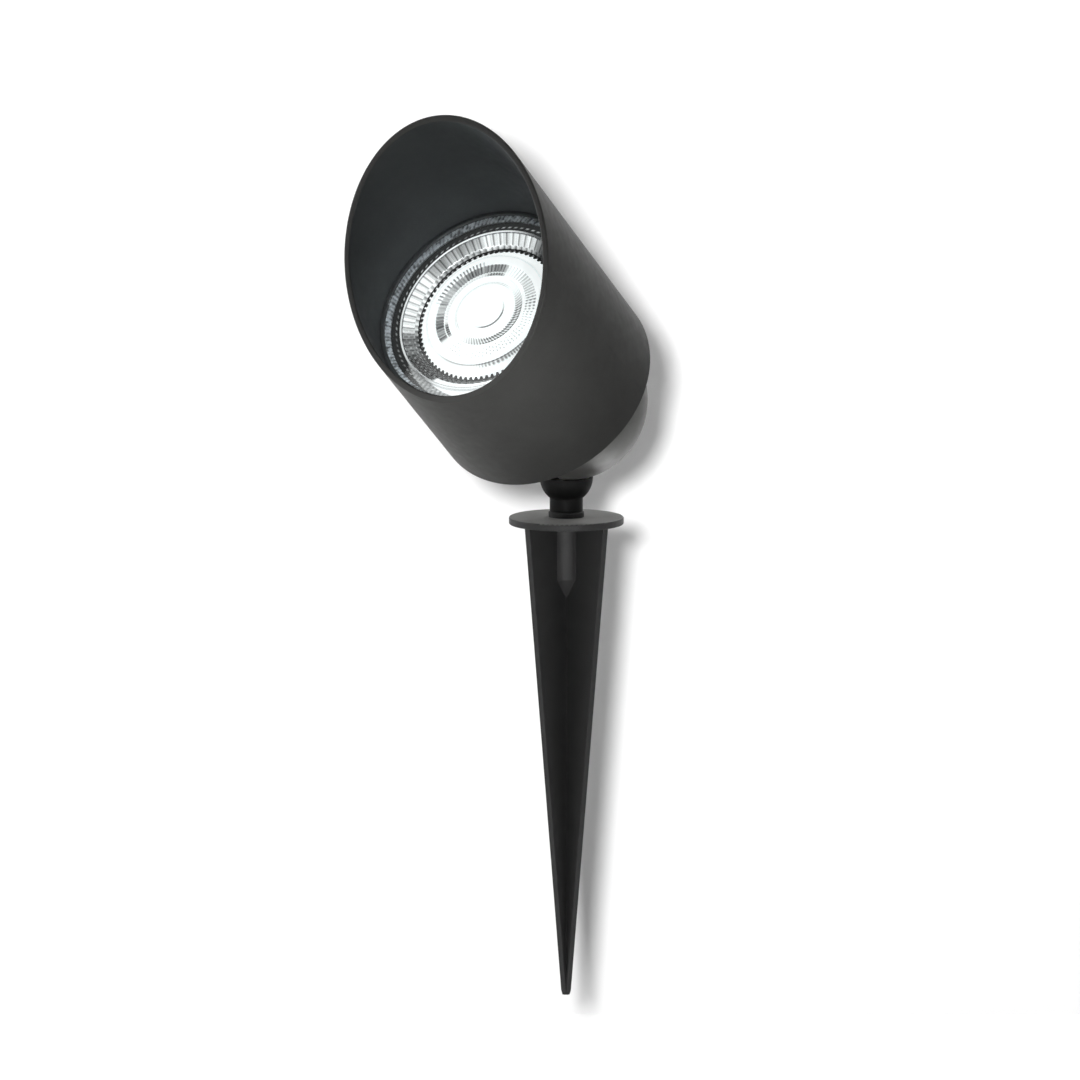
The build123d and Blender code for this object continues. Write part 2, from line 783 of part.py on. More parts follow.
# ---------------------------------------------------------------- terminal block
terminal_back = strap_back + strap_thick / 2
terminal_front = terminal_back + terminal_depth
wire_ahead = terminal_back + terminal_depth / 2
terminal_floor = Plane(
    hood_root + above * terminal_rise + ahead * wire_ahead, x_dir=(1, 0, 0), z_dir=above
)
lead_floor = terminal_floor.offset(holder_depth / 2 - terminal_rise)
terminal_screw_places = [(x, terminal_rise + terminal_height / 2) for x, _ in pin_places]

with BuildPart() as terminal_block:
    with BuildSketch(terminal_floor):
        RectangleRounded(terminal_width, terminal_depth, terminal_round)
    extrude(amount=terminal_height)
    with BuildSketch(terminal_floor):
        with Locations(*pin_places):
            Circle(terminal_hole / 2)
    extrude(amount=terminal_height, mode=Mode.SUBTRACT)
    with BuildSketch(hood_plane.offset(terminal_front)):
        with Locations(*terminal_screw_places):
            Circle(terminal_screw_dia / 2 + hole_clearance)
    extrude(amount=-terminal_screw_depth, mode=Mode.SUBTRACT)

with BuildPart() as terminal_screws:
    with BuildSketch(hood_plane.offset(terminal_front - terminal_screw_depth)):
        with Locations(*terminal_screw_places):
            Circle(terminal_screw_dia / 2)
    extrude(amount=terminal_screw_length)
    with BuildSketch(hood_plane.offset(terminal_front - terminal_screw_depth + terminal_screw_length)):
        with Locations(*terminal_screw_places):
            Rectangle(terminal_screw_dia, terminal_slot)
    extrude(amount=-terminal_slot, mode=Mode.SUBTRACT)

with BuildPart() as lamp_leads:
    with BuildSketch(lead_floor):
        with Locations(*pin_places):
            Circle(lead_dia / 2)
    extrude(amount=terminal_rise - holder_depth / 2 + lead_grip)

# ---------------------------------------------------------------- cable gland
hex_start = gland_seat
spigot_start = hex_start + gland_hex_height
spigot_end = spigot_start + gland_spigot_height
seal_start = spigot_end - seal_length
thread_start = dome_bore - gland_inside
locknut_seat = sqrt(dome_bore**2 - (gland_flats / sqrt(3)) ** 2)

with BuildPart() as cable_gland:
    with BuildSketch(gland_plane.offset(thread_start)):
        Circle(gland_thread_dia / 2)
    extrude(amount=hex_start - thread_start)
    with BuildSketch(gland_plane.offset(hex_start)):
        RegularPolygon(gland_flats / 2, 6, major_radius=False)
    extrude(amount=gland_hex_height)
    with BuildSketch(gland_plane.offset(spigot_start)):
        Circle(gland_spigot_dia / 2)
    extrude(amount=gland_spigot_height)
    with BuildSketch(gland_plane.offset(thread_start)):
        Circle(gland_bore / 2)
    extrude(amount=spigot_end - thread_start, mode=Mode.SUBTRACT)
    with BuildSketch(gland_plane.offset(seal_start)):
        Circle(seal_dia / 2)
    extrude(amount=seal_length, mode=Mode.SUBTRACT)

with BuildPart() as gland_seal:
    with BuildSketch(gland_plane.offset(seal_start)):
        Circle(seal_dia / 2)
        Circle(seal_bore / 2, mode=Mode.SUBTRACT)
    extrude(amount=seal_length)

with BuildPart() as gland_cap:
    with BuildSketch(gland_plane.offset(spigot_start + thread_clearance)):
        Circle(cap_dia / 2)
    extrude(amount=gland_spigot_height + cap_wall_front)
    cap_face = gland_cap.faces().sort_by(Axis(swivel, gland_plane.z_dir))[-1]
    fillet(cap_face.edges(), radius=cap_round)
    with BuildSketch(gland_plane.offset(spigot_start)):
        Circle(gland_spigot_dia / 2 + thread_clearance)
    extrude(amount=gland_spigot_height + thread_clearance, mode=Mode.SUBTRACT)
    with BuildSketch(gland_plane.offset(spigot_start)):
        Circle(cap_hole / 2)
    extrude(amount=gland_spigot_height + 2 * cap_wall_front, mode=Mode.SUBTRACT)

with BuildPart() as gland_locknut:
    with BuildSketch(gland_plane.offset(locknut_seat)):
        RegularPolygon(gland_flats / 2, 6, major_radius=False)
        Circle(gland_thread_dia / 2 + thread_clearance, mode=Mode.SUBTRACT)
    extrude(amount=-locknut_thick)

# ---------------------------------------------------------------- write every piece
pieces = {
    "ground_spike": ground_spike,
    "threaded_insert": threaded_insert,
    "stem_washer": stem_washer,
    "swivel_stem": swivel_stem,
    "friction_liner": friction_liner,
    "cap_washer": cap_washer,
    "lock_washer": lock_washer,
    "clamp_screw": clamp_screw,
    "hood_tube": hood_tube,
    "rear_housing": rear_housing,
    "housing_seal": housing_seal,
    "housing_screws": housing_screws,
    "trim_ring": trim_ring,
    "glass_gasket": glass_gasket,
    "front_glass": front_glass,
    "retaining_ring": retaining_ring,
    "lamp_shell": lamp_shell,
    "lamp_facet_ring": lamp_facet_ring,
    "lamp_lens": lamp_lens,
    "led_board": led_board,
    "led_chip": led_chip,
    "lamp_base": lamp_base,
    "lamp_pins": lamp_pins,
    "lampholder": lampholder,
    "holder_sleeves": holder_sleeves,
    "holder_strap": holder_strap,
    "holder_screws": holder_screws,
    "strap_screws": strap_screws,
    "terminal_block": terminal_block,
    "terminal_screws": terminal_screws,
    "lamp_leads": lamp_leads,
    "cable_gland": cable_gland,
    "gland_seal": gland_seal,
    "gland_cap": gland_cap,
    "gland_locknut": gland_locknut,
}
for name, piece in pieces.items():
    piece.part.label = name
    export_step(piece.part, f"parts/{name}.step")
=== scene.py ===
"""Light projector stake: finishes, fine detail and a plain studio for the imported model.

Everything is in metres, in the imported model's own frame: +Z runs up the stake, ground level is at
zero, and the hood points along -Y, tilted up. Shapes of the head are worked out about the hood's
centre line, as across, above and ahead, and then put into that frame.
"""

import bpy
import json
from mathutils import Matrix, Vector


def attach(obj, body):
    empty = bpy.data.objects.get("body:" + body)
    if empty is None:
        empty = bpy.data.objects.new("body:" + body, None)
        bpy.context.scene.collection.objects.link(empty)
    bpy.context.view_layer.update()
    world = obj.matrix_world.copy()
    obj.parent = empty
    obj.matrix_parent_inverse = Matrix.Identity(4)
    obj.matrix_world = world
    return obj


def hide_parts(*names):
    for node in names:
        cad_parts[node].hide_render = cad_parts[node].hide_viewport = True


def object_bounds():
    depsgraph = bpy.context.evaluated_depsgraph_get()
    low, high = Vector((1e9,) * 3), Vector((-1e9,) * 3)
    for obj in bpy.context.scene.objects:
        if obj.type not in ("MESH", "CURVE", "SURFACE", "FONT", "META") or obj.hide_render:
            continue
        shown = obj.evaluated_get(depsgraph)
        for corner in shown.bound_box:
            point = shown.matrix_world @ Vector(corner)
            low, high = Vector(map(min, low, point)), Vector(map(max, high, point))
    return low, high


bl_info = {
    "name": "Light projector stake",
    "version": (1, 0, 0),
    "blender": (4, 5, 0),
    "location": "View3D > Sidebar > Stake",
    "description": "Finishes and fine detail for a garden spotlight on a ground spike",
    "category": "Object",
}

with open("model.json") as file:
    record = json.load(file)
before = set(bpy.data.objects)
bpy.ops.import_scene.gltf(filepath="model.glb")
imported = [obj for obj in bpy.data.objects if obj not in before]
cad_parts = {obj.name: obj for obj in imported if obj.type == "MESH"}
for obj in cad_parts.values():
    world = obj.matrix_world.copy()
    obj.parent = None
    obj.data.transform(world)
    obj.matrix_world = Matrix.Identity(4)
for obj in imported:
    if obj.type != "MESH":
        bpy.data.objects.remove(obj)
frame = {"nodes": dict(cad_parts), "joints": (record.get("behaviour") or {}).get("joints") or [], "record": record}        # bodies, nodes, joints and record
CAD_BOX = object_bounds()

import json
from collections import namedtuple
from math import cos, pi, radians, sin

import bmesh
import bpy
import numpy as np
from bpy.props import FloatProperty, FloatVectorProperty, IntProperty, PointerProperty
from mathutils import Vector

MM = 0.001
TAU = 2 * pi
PAINTED_REFLECTION_HOURS = (3.5, 6.65, 0.15)  # clock hours of the rings' painted reflection of the lamp: from, to, softness

Reach = namedtuple("Reach", "inner outer start end")


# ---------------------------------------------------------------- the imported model's own places
def node_points(node):
    """Vertices of a CAD node, one row each."""
    mesh = frame["nodes"][node].data
    points = np.empty(len(mesh.vertices) * 3)
    mesh.vertices.foreach_get("co", points)
    return points.reshape(-1, 3)


class CentreLine:
    """A line to turn shapes about. Local points are (across, above, ahead) from its origin."""

    def __init__(self, origin, ahead, across=(1.0, 0.0, 0.0)):
        ahead = np.array(ahead, float) / np.linalg.norm(ahead)
        across = np.array(across, float) - ahead * np.dot(across, ahead)
        across /= np.linalg.norm(across)
        self.origin = np.array(origin, float)
        self.axes = np.column_stack([across, np.cross(ahead, across), ahead])

    def outward(self, points):
        """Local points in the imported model's frame."""
        return self.origin + points @ self.axes.T

    def local(self, points):
        return (points - self.origin) @ self.axes

    def reach(self, node):
        """Inner and outer radius, start and end of a CAD node about this line."""
        points = self.local(node_points(node))
        radius = np.hypot(points[:, 0], points[:, 1])
        return Reach(radius.min(), radius.max(), points[:, 2].min(), points[:, 2].max())


def flat_normal(node):
    """Normal of a CAD node's largest triangle."""
    polygons = frame["nodes"][node].data.polygons
    return np.array(max(polygons, key=lambda polygon: polygon.area).normal)


def find_hood_line():
    """The hood's centre line, from its front glass, a flat disc. Ahead is zero at the swivel."""
    pivot = np.array(next(j["pos_m"] for j in frame["joints"] if j["name"] == "head_tilt"))
    ahead = flat_normal("front_glass")
    if np.dot(node_points("front_glass").mean(0) - pivot, ahead) < 0:
        ahead = -ahead
    line = CentreLine(pivot, ahead)
    points = line.local(node_points("front_glass"))
    middle = (points.min(0) + points.max(0)) / 2
    return CentreLine(line.outward(np.array([middle[0], middle[1], 0.0])), ahead)


def find_gland_line():
    """The cable gland's centre line, from the record's cable entry."""
    mount = next(m for m in frame["record"]["mounts"] if m["name"] == "cable_entry")
    return CentreLine(mount["pos_m"], mount["axis"])


HOOD = find_hood_line()
GLAND = find_gland_line()


# ---------------------------------------------------------------- sizes and colours a user changes
def length(name, description, default):
    return FloatProperty(
        name=name, description=description, default=default, min=0.0, unit="LENGTH", precision=5
    )


def count(name, description, default):
    return IntProperty(name=name, description=description, default=default, min=12)


def colour(name, description, default):
    return FloatVectorProperty(
        name=name, description=description, default=default, min=0.0, max=1.0, subtype="COLOR"
    )


class StakeRingSizes(bpy.types.PropertyGroup):
    """Rings round the lamp."""

    grain: length("Gasket grain", "Depth of the gasket's rough skin", 0.10 * MM)
    grain_size: length("Grain size", "Width of one grain of that skin", 0.5 * MM)
    strands: count("Strands", "Slanted strands round the gasket", 150)
    corner: length("Ring corner", "Rounding of the rings' edges", 0.2 * MM)
    dash_radius: length("Dash radius", "Radius of the trim ring's row of raised dashes", 26.2 * MM)
    dash_width: length("Dash width", "Width of that row", 0.36 * MM)
    dash_height: length("Dash height", "Height of one dash", 0.12 * MM)
    dashes: count("Dashes", "Dashes round the trim ring", 88)
    bead: length("Rim bead", "Radius of the rolled bead on the lamp's rim", 0.27 * MM)


class StakeLampSizes(bpy.types.PropertyGroup):
    """The reflector lamp's face."""

    facets: count("Facets", "Ribs round the reflector", 74)
    facet_rise: length("Facet rise", "Height of one rib's crown", 0.16 * MM)
    facet_step: length("Facet step", "Radius where the two rows of facets meet", 21.5 * MM)
    teeth: count("Teeth", "Teeth round the optic", 80)
    tooth_depth: length("Tooth depth", "Depth of one tooth", 1.25 * MM)
    fins: count("Fins", "Radial fins in the optic", 88)
    fin_inner: length("Fin start", "Radius where the fins start", 11.1 * MM)
    fin_outer: length("Fin end", "Radius where the fins end", 14.7 * MM)
    dome_radius: length("Dome radius", "Radius of the optic's middle dome", 5.3 * MM)
    dome_rise: length("Dome rise", "Height of that dome", 0.3 * MM)
    cup_inner: length("Cup start", "Inner radius of the cup round the dome", 8.6 * MM)
    cup_outer: length("Cup end", "Outer radius of that cup", 10.6 * MM)


class StakeColours(bpy.types.PropertyGroup):
    """Colours of the finishes."""

    coat: colour("Powder coat", "Hood and brackets", (0.033, 0.033, 0.0315))
    # Paler than the hood's coat: painted light on the rear housing.
    housing: colour("Housing coat", "Rear housing", (0.060, 0.060, 0.057))
    # Darker than the coat: painted shade inside the hood.
    bore: colour("Hood bore", "Inside of the hood", (0.027, 0.030, 0.031))
    lip: colour("Hood lip", "Cut edge of the hood", (0.032, 0.032, 0.031))
    stem: colour("Stem", "Swivel stem", (0.006, 0.006, 0.006))
    spike: colour("Spike", "Moulded spike", (0.015, 0.015, 0.015))
    # Far paler than the spike: painted light on the flange's upward face.
    flange: colour("Flange", "Top of the spike's flange", (0.33, 0.33, 0.32))
    rubber: colour("Rubber", "Seals and washers", (0.010, 0.010, 0.010))
    gasket: colour("Gasket", "High grains of the gasket round the lamp", (0.62, 0.68, 0.72))
    light: colour("Lamp light", "Glow of the optic", (0.965, 1.00, 1.00))


class StakeStudio(bpy.types.PropertyGroup):
    """Camera, lamps, floor and backdrop."""

    azimuth: FloatProperty(
        name="Azimuth", description="Camera's turn from -Y", default=radians(30.43), subtype="ANGLE"
    )
    elevation: FloatProperty(
        name="Elevation", description="Camera's rise", default=radians(8.19), subtype="ANGLE"
    )
    distance: length("Distance", "Camera to aim point", 2.0)
    lens: FloatProperty(name="Lens", description="Focal length in millimetres", default=244.0)
    aim_left: length("Aim left", "Aim point to the left of the stake's axis", 7.18 * MM)
    aim_drop: length("Aim drop", "Aim point below ground level", 4.5 * MM)
    world: FloatProperty(name="World", description="Soft light from all round", default=0.25)
    backdrop_gap: length("Backdrop gap", "Stake's axis to the backdrop", 0.135)
    floor_drop: length("Floor drop", "Floor below the stake's tip", 0.034)


# ---------------------------------------------------------------- surfaces on a grid
def rounded(corners, radius, steps=4):
    """Closed outline through the corners, each rounded by a quadratic curve that starts and ends
    `radius` from it."""
    corners = np.array(corners, float)
    before = np.roll(corners, 1, 0) - corners
    after = np.roll(corners, -1, 0) - corners
    before_length = np.linalg.norm(before, axis=1, keepdims=True)
    after_length = np.linalg.norm(after, axis=1, keepdims=True)
    start = corners + before / before_length * np.minimum(radius, before_length / 2)
    end = corners + after / after_length * np.minimum(radius, after_length / 2)
    t = np.linspace(0, 1, steps)[None, :, None]
    curve = (1 - t) ** 2 * start[:, None] + 2 * t * (1 - t) * corners[:, None] + t**2 * end[:, None]
    return curve.reshape(-1, 2)


def resampled(outline, spacing):
    """Closed outline as points about `spacing` apart along it."""
    closed = np.vstack([outline, outline[:1]])
    along = np.concatenate([[0], np.cumsum(np.linalg.norm(np.diff(closed, axis=0), axis=1))])
    count = int(along[-1] / spacing)
    places = np.linspace(0, along[-1], count, endpoint=False)
    return np.column_stack([np.interp(places, along, closed[:, k]) for k in (0, 1)])


def ring_outline(inner, outer, start, end, corner, spacing):
    """Rectangular cross-section of a ring with rounded corners, as columns of radius and height."""
    corners = [(inner, start), (outer, start), (outer, end), (inner, end)]
    outline = resampled(rounded(corners, corner), spacing)
    return outline[:, :1], outline[:, 1:]


def turned(radius, height, angles):
    """Surface of revolution: radius and height for each row, or each row and angle, as points
    (radius cos angle, radius sin angle, height)."""
    shape = (len(radius), len(angles))
    radius = np.broadcast_to(radius if radius.ndim == 2 else radius[:, None], shape)
    height = np.broadcast_to(height if height.ndim == 2 else height[:, None], shape)
    return np.stack([radius * np.cos(angles), radius * np.sin(angles), height], axis=-1)


def even_angles(count):
    return np.linspace(0, TAU, count, endpoint=False)


def step_between(value, low, high):
    """Smooth step: 0 below low, 1 above high, 3t^2 - 2t^3 between."""
    t = np.clip((value - low) / (high - low), 0, 1)
    return t * t * (3 - 2 * t)


def bump_at(value, middle, width):
    """Bell of height 1 at `middle`: exp(-((value - middle) / width)^2)."""
    return np.exp(-(((value - middle) / width) ** 2))


def apart(angles, middle):
    """How far each angle is from `middle`, the short way round."""
    return np.abs((angles - middle + pi) % TAU - pi)


def grain(rows, columns, row_width, column_width, seed):
    """Random skin that repeats both ways: white noise whose spectrum is cut by a Gaussian of the
    given widths, in grid steps, scaled to a standard deviation of 1."""
    noise = np.random.default_rng(seed).standard_normal((rows, columns))
    row_waves = np.fft.fftfreq(rows)[:, None] * row_width
    column_waves = np.fft.fftfreq(columns)[None, :] * column_width
    spectrum = np.fft.fft2(noise) * np.exp(-((pi * row_waves) ** 2 + (pi * column_waves) ** 2))
    skin = np.fft.ifft2(spectrum).real
    return (skin - skin.mean()) / skin.std()


def grid_mesh(name, points, closed_rows, tone=None):
    """Mesh of a grid of points (rows, columns, 3). Columns close on themselves, and so do rows
    where closed_rows. The UV map holds (share of the turn, share of the rows)."""
    rows, columns = points.shape[:2]
    index = np.arange(rows * columns).reshape(rows, columns)
    if closed_rows:
        index = np.vstack([index, index[:1]])
    index = np.hstack([index, index[:, :1]])
    quads = np.stack([index[:-1, :-1], index[:-1, 1:], index[1:, 1:], index[1:, :-1]], axis=-1)
    quads = quads.reshape(-1, 4)
    mesh = bpy.data.meshes.new(name)
    mesh.vertices.add(rows * columns)
    mesh.vertices.foreach_set("co", points.astype(np.float32).ravel())
    mesh.loops.add(quads.size)
    mesh.loops.foreach_set("vertex_index", quads.astype(np.int32).ravel())
    mesh.polygons.add(len(quads))
    mesh.polygons.foreach_set("loop_start", np.arange(0, quads.size, 4, dtype=np.int32))
    row_count = index.shape[0] - 1
    turn, up = np.meshgrid(np.arange(columns) / columns, np.arange(row_count) / row_count)
    corners = np.array([(0, 0), (1, 0), (1, 1), (0, 1)]) / (columns, row_count)
    places = np.stack([turn, up], axis=-1).reshape(-1, 1, 2) + corners
    mesh.uv_layers.new(name="turned").data.foreach_set("uv", places.astype(np.float32).ravel())
    if tone is not None:
        layer = mesh.attributes.new("tone", "FLOAT", "POINT")
        layer.data.foreach_set("value", tone.astype(np.float32).ravel())
    mesh.update(calc_edges=True)
    mesh.validate()
    return mesh


def close_mesh(mesh, sharp_angle):
    """Merges seams and poles, turns every face outwards, and shades smooth up to an angle."""
    work = bmesh.new()
    work.from_mesh(mesh)
    bmesh.ops.remove_doubles(work, verts=work.verts, dist=1e-7)
    bmesh.ops.recalc_face_normals(work, faces=work.faces)
    work.to_mesh(mesh)
    work.free()
    mesh.shade_smooth()
    mesh.set_sharp_from_angle(angle=sharp_angle)


def add_piece(name, points, slot, replaced=(), tone=None, closed_rows=True, line=HOOD):
    """Grid of points about a centre line as a finished piece that rides on the head."""
    mesh = grid_mesh(name, line.outward(points), closed_rows, tone)
    close_mesh(mesh, radians(40))
    piece = bpy.data.objects.new(name, mesh)
    bpy.context.scene.collection.objects.link(piece)
    mesh.materials.append(bpy.data.materials[bpy.context.scene["stake_finish_" + slot]])
    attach(piece, "head")
    if replaced:
        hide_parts(*replaced)
    lit_collection("stake_lit").objects.link(piece)


def lit_collection(name):
    """Collection of what a lamp may light, made at first use."""
    return bpy.data.collections.get(name) or bpy.data.collections.new(name)


# ---------------------------------------------------------------- finishes
class NodeMaker:
    """Adds nodes to the emptied node tree of a material or world."""

    def __init__(self, owner):
        owner.use_nodes = True
        self.nodes, self.links = owner.node_tree.nodes, owner.node_tree.links
        self.nodes.clear()

    def add(self, kind, inputs=None, **settings):
        """A node with its settings, and its inputs by name or number. Inputs of None keep their
        own values, and colours are made opaque."""
        node = self.nodes.new(kind)
        for name, value in settings.items():
            setattr(node, name, value)
        for name, value in (inputs or {}).items():
            socket = node.inputs[name]
            if isinstance(value, bpy.types.NodeSocket):
                self.links.new(value, socket)
            elif value is not None:
                socket.default_value = (*value, 1.0) if socket.type == "RGBA" else value
        return node

    def math(self, operation, first, second=0.0, clamp=False):
        inputs = {0: first, 1: second}
        node = self.add("ShaderNodeMath", inputs, operation=operation, use_clamp=clamp)
        return node.outputs[0]

    def between(self, value, low, high, out_low=0.0, out_high=1.0):
        """Value mapped from low..high to out_low..out_high, and held at the ends."""
        inputs = {"Value": value, "From Min": low, "From Max": high}
        inputs.update({"To Min": out_low, "To Max": out_high})
        return self.add("ShaderNodeMapRange", inputs).outputs["Result"]

    def vector(self, operation, first, second=(0.0, 0.0, 0.0), output="Vector"):
        inputs = {0: first, 1: second}
        return self.add("ShaderNodeVectorMath", inputs, operation=operation).outputs[output]

    def dot(self, first, second):
        return self.vector("DOT_PRODUCT", first, second, "Value")


class Finish(NodeMaker):
    """A new node material, with short ways to add its nodes."""

    def __init__(self, name):
        self.material = bpy.data.materials.new(name)
        super().__init__(self.material)
        self.output = self.nodes.new("ShaderNodeOutputMaterial")
        self.coordinates = self.nodes.new("ShaderNodeTexCoord").outputs
        mapping = self.add("ShaderNodeMapping", {"Vector": self.coordinates["Object"]})
        self.place = mapping.outputs[0]

    def noise(self, size, detail=2.0):
        """Noise whose lumps are about `size` across, in metres."""
        inputs = {"Vector": self.place, "Scale": 1 / size, "Detail": detail}
        return self.add("ShaderNodeTexNoise", inputs).outputs["Fac"]

    def varied(self, size, low, high, detail=3.0):
        """Value that wanders between low and high, in lumps about `size` across."""
        return self.between(self.noise(size, detail), 0.3, 0.7, low, high)

    def mix(self, share, first, second):
        """Colour between two colours."""
        inputs = {0: share, 6: first, 7: second}
        return self.add("ShaderNodeMix", inputs, data_type="RGBA").outputs[2]

    def scaled(self, first, factor):
        """Colour times a factor."""
        inputs = {0: first, 3: factor}
        return self.add("ShaderNodeVectorMath", inputs, operation="SCALE").outputs["Vector"]

    def about(self, line):
        """Distance ahead along a centre line, and radius from it."""
        offset = self.vector("SUBTRACT", self.place, line.origin)
        crossed = self.vector("CROSS_PRODUCT", offset, line.axes[:, 2])
        return self.dot(offset, line.axes[:, 2]), self.vector("LENGTH", crossed, output="Value")

    def bump(self, height, depth, strength=1.0, normal=None):
        inputs = {"Height": height, "Distance": depth, "Strength": strength, "Normal": normal}
        return self.add("ShaderNodeBump", inputs).outputs["Normal"]

    def rounded_edges(self, radius):
        return self.add("ShaderNodeBevel", {"Radius": radius}, samples=6).outputs["Normal"]

    def surface(self, base, roughness, normal=None, gloss=None, others=None):
        """Principled surface as the material's result."""
        inputs = {"Base Color": base, "Roughness": roughness, "Specular IOR Level": gloss}
        inputs.update({"Normal": normal, **(others or {})})
        self.show(self.add("ShaderNodeBsdfPrincipled", inputs).outputs[0])
        return self.material

    def show(self, shader):
        self.links.new(shader, self.output.inputs["Surface"])

    def tone(self):
        """The piece's tone attribute, from 0 to 1, which carries painted light, painted reflection
        or painted shade.
        """
        return self.add("ShaderNodeAttribute", attribute_name="tone").outputs["Fac"]


def shade(colour_value, factor):
    return tuple(min(1.0, channel * factor) for channel in colour_value)


def powder_coat(name, coat, gloss, hood=None):
    """Matt powder coat: fine orange peel, faint mottling and a dusting of lighter grains. On the
    hood, `hood` gives the colours of its bore and of its lip. The bore's darker colour is painted
    shade inside the hood, and it is paler towards the glass, as painted light from the lamp."""
    finish = Finish(name)
    speck = finish.between(finish.noise(0.32 * MM, 3.0), 0.58, 0.8, 1.0, 1.3)
    tint = finish.math("MULTIPLY", finish.varied(9 * MM, 0.94, 1.06), speck)
    coat_now = finish.scaled(coat, tint)
    if hood is not None:
        bore, lip = hood
        tube, glass = HOOD.reach("hood_tube"), HOOD.reach("front_glass")
        ahead, radius = finish.about(HOOD)
        # Painted light: the bore is up to 1.7 times paler towards the glass, over its painted shade
        # colour.
        depth = finish.between(ahead, glass.end, glass.end + 26 * MM, 1.7, 1.0)
        bore_painted_shade_and_light = finish.scaled(bore, finish.math("MULTIPLY", tint, depth))
        facing = finish.dot(finish.coordinates["Normal"], HOOD.axes[:, 2])
        inside = finish.mix(finish.between(facing, 0.3, 0.6), bore_painted_shade_and_light, lip)
        skin = finish.between(radius, tube.outer - 0.14 * MM, tube.outer - 0.08 * MM)
        behind = finish.between(ahead, glass.start, glass.start - 1 * MM)
        coat_now = finish.mix(finish.math("MAXIMUM", skin, behind), inside, coat_now)
    fine = finish.math("MULTIPLY", finish.noise(0.25 * MM), 0.35)
    peel = finish.math("ADD", finish.noise(1.1 * MM), fine)
    normal = finish.bump(peel, 0.02 * MM, 0.5, finish.rounded_edges(0.25 * MM))
    return finish.surface(coat_now, finish.varied(2.5 * MM, 0.50, 0.58), normal, gloss)


def moulded_plastic(name, body, gloss, top=None):
    """Spark-eroded mould skin: fine grain, rounded edges and dust in random patches. Where `top`
    is given, upward faces get that paler colour, as painted light from above."""
    finish = Finish(name)
    colour_now = body
    if top is not None:
        # Painted light: upward faces take the paler top colour.
        painted_top_light = finish.dot(finish.coordinates["Normal"], (0.0, 0.0, 1.0))
        colour_now = finish.mix(finish.between(painted_top_light, 0.5, 0.9), body, top)
    dust = finish.between(finish.noise(6 * MM, 4.0), 0.35, 0.75, 0.88, 1.2)
    colour_now = finish.scaled(colour_now, dust)
    skin = finish.noise(0.35 * MM, 3.0)
    normal = finish.bump(skin, 0.03 * MM, 0.6, finish.rounded_edges(0.3 * MM))
    return finish.surface(colour_now, finish.varied(3 * MM, 0.48, 0.60), normal, gloss)


def soft_rubber(name, body):
    finish = Finish(name)
    bloom = finish.between(finish.noise(1.5 * MM, 4.0), 0.4, 0.75)
    bloomed = finish.mix(bloom, body, shade(body, 2.2))
    normal = finish.bump(finish.noise(0.4 * MM, 3.0), 0.02 * MM, 0.5)
    return finish.surface(bloomed, finish.varied(0.8 * MM, 0.62, 0.78, 2.0), normal, 0.35)


def speckled_rubber(name, grains):
    """Rough cord rubber with fine flecks, pale blue-grey on the high grains of its front and dark
    in its pits, on its other faces and at its rim, as painted shade, from the piece's tone, which
    follows its skin."""
    finish = Finish(name)
    fleck = finish.between(finish.noise(0.22 * MM), 0.35, 0.65)
    # The tone gives painted shade; the flecks are the rubber's own.
    share = finish.math("MULTIPLY", finish.tone(), finish.math("ADD", fleck, 0.45), clamp=True)
    speckled = finish.mix(share, shade(grains, 0.16), grains)
    normal = finish.bump(finish.noise(0.15 * MM), 0.03 * MM, 0.5)
    return finish.surface(speckled, finish.between(fleck, 0.0, 1.0, 0.42, 0.62), normal, 0.6)


def bright_metal(name, body, roughness, paints_lamp_light=False):
    """Bright metal with faint handling marks. Beside the lamp it has a painted glow where the
    piece's tone is high, and is painted dark, a painted reflection of the dark hood, where it is
    low."""
    finish = Finish(name)
    marks = finish.noise(0.6 * MM, 4.0)
    marks_and_painted_reflection = finish.mix(finish.between(marks, 0.3, 0.7), shade(body, 0.88), body)
    others = {"Metallic": 1.0}
    # Painted glow and painted reflection from the piece's tone.
    if paints_lamp_light:
        tone = finish.tone()
        marks_and_painted_reflection = finish.scaled(marks_and_painted_reflection, finish.between(tone, 0.0, 0.5, 0.03, 0.4))
        others["Emission Color"] = finish.mix(tone, (0.0, 0.0, 0.0), (0.97, 1.0, 1.0))
        others["Emission Strength"] = 0.9
    gloss_marks = finish.between(marks, 0.25, 0.75, *roughness)
    return finish.surface(marks_and_painted_reflection, gloss_marks, finish.bump(marks, 0.004 * MM, 0.3), others=others)


def plain_moulding(name, body, roughness, size):
    """Light-coloured plastic, ceramic or sleeve with a faint mottled skin."""
    finish = Finish(name)
    mottle = finish.noise(size, 3.0)
    mottled = finish.mix(finish.between(mottle, 0.3, 0.7), shade(body, 0.85), body)
    gloss_marks = finish.between(mottle, 0.3, 0.7, roughness, roughness + 0.1)
    normal = finish.bump(finish.noise(size / 8), 0.01 * MM, 0.4)
    return finish.surface(mottled, gloss_marks, normal)


def clear_glass(name):
    """Clear float glass, with a very faint wipe pattern in its gloss."""
    finish = Finish(name)
    wiped = finish.between(finish.noise(7 * MM, 3.0), 0.35, 0.7, 0.0, 0.02)
    finish.surface((0.98, 1.0, 1.0), wiped, others={"IOR": 1.45, "Transmission Weight": 1.0})
    glass = finish.output.inputs["Surface"].links[0].from_socket
    clear = finish.add("ShaderNodeBsdfTransparent").outputs[0]
    path = finish.add("ShaderNodeLightPath").outputs
    passing = finish.math("MAXIMUM", path["Is Shadow Ray"], path["Is Diffuse Ray"])
    finish.show(finish.add("ShaderNodeMixShader", {0: passing, 1: glass, 2: clear}).outputs[0])
    return finish.material


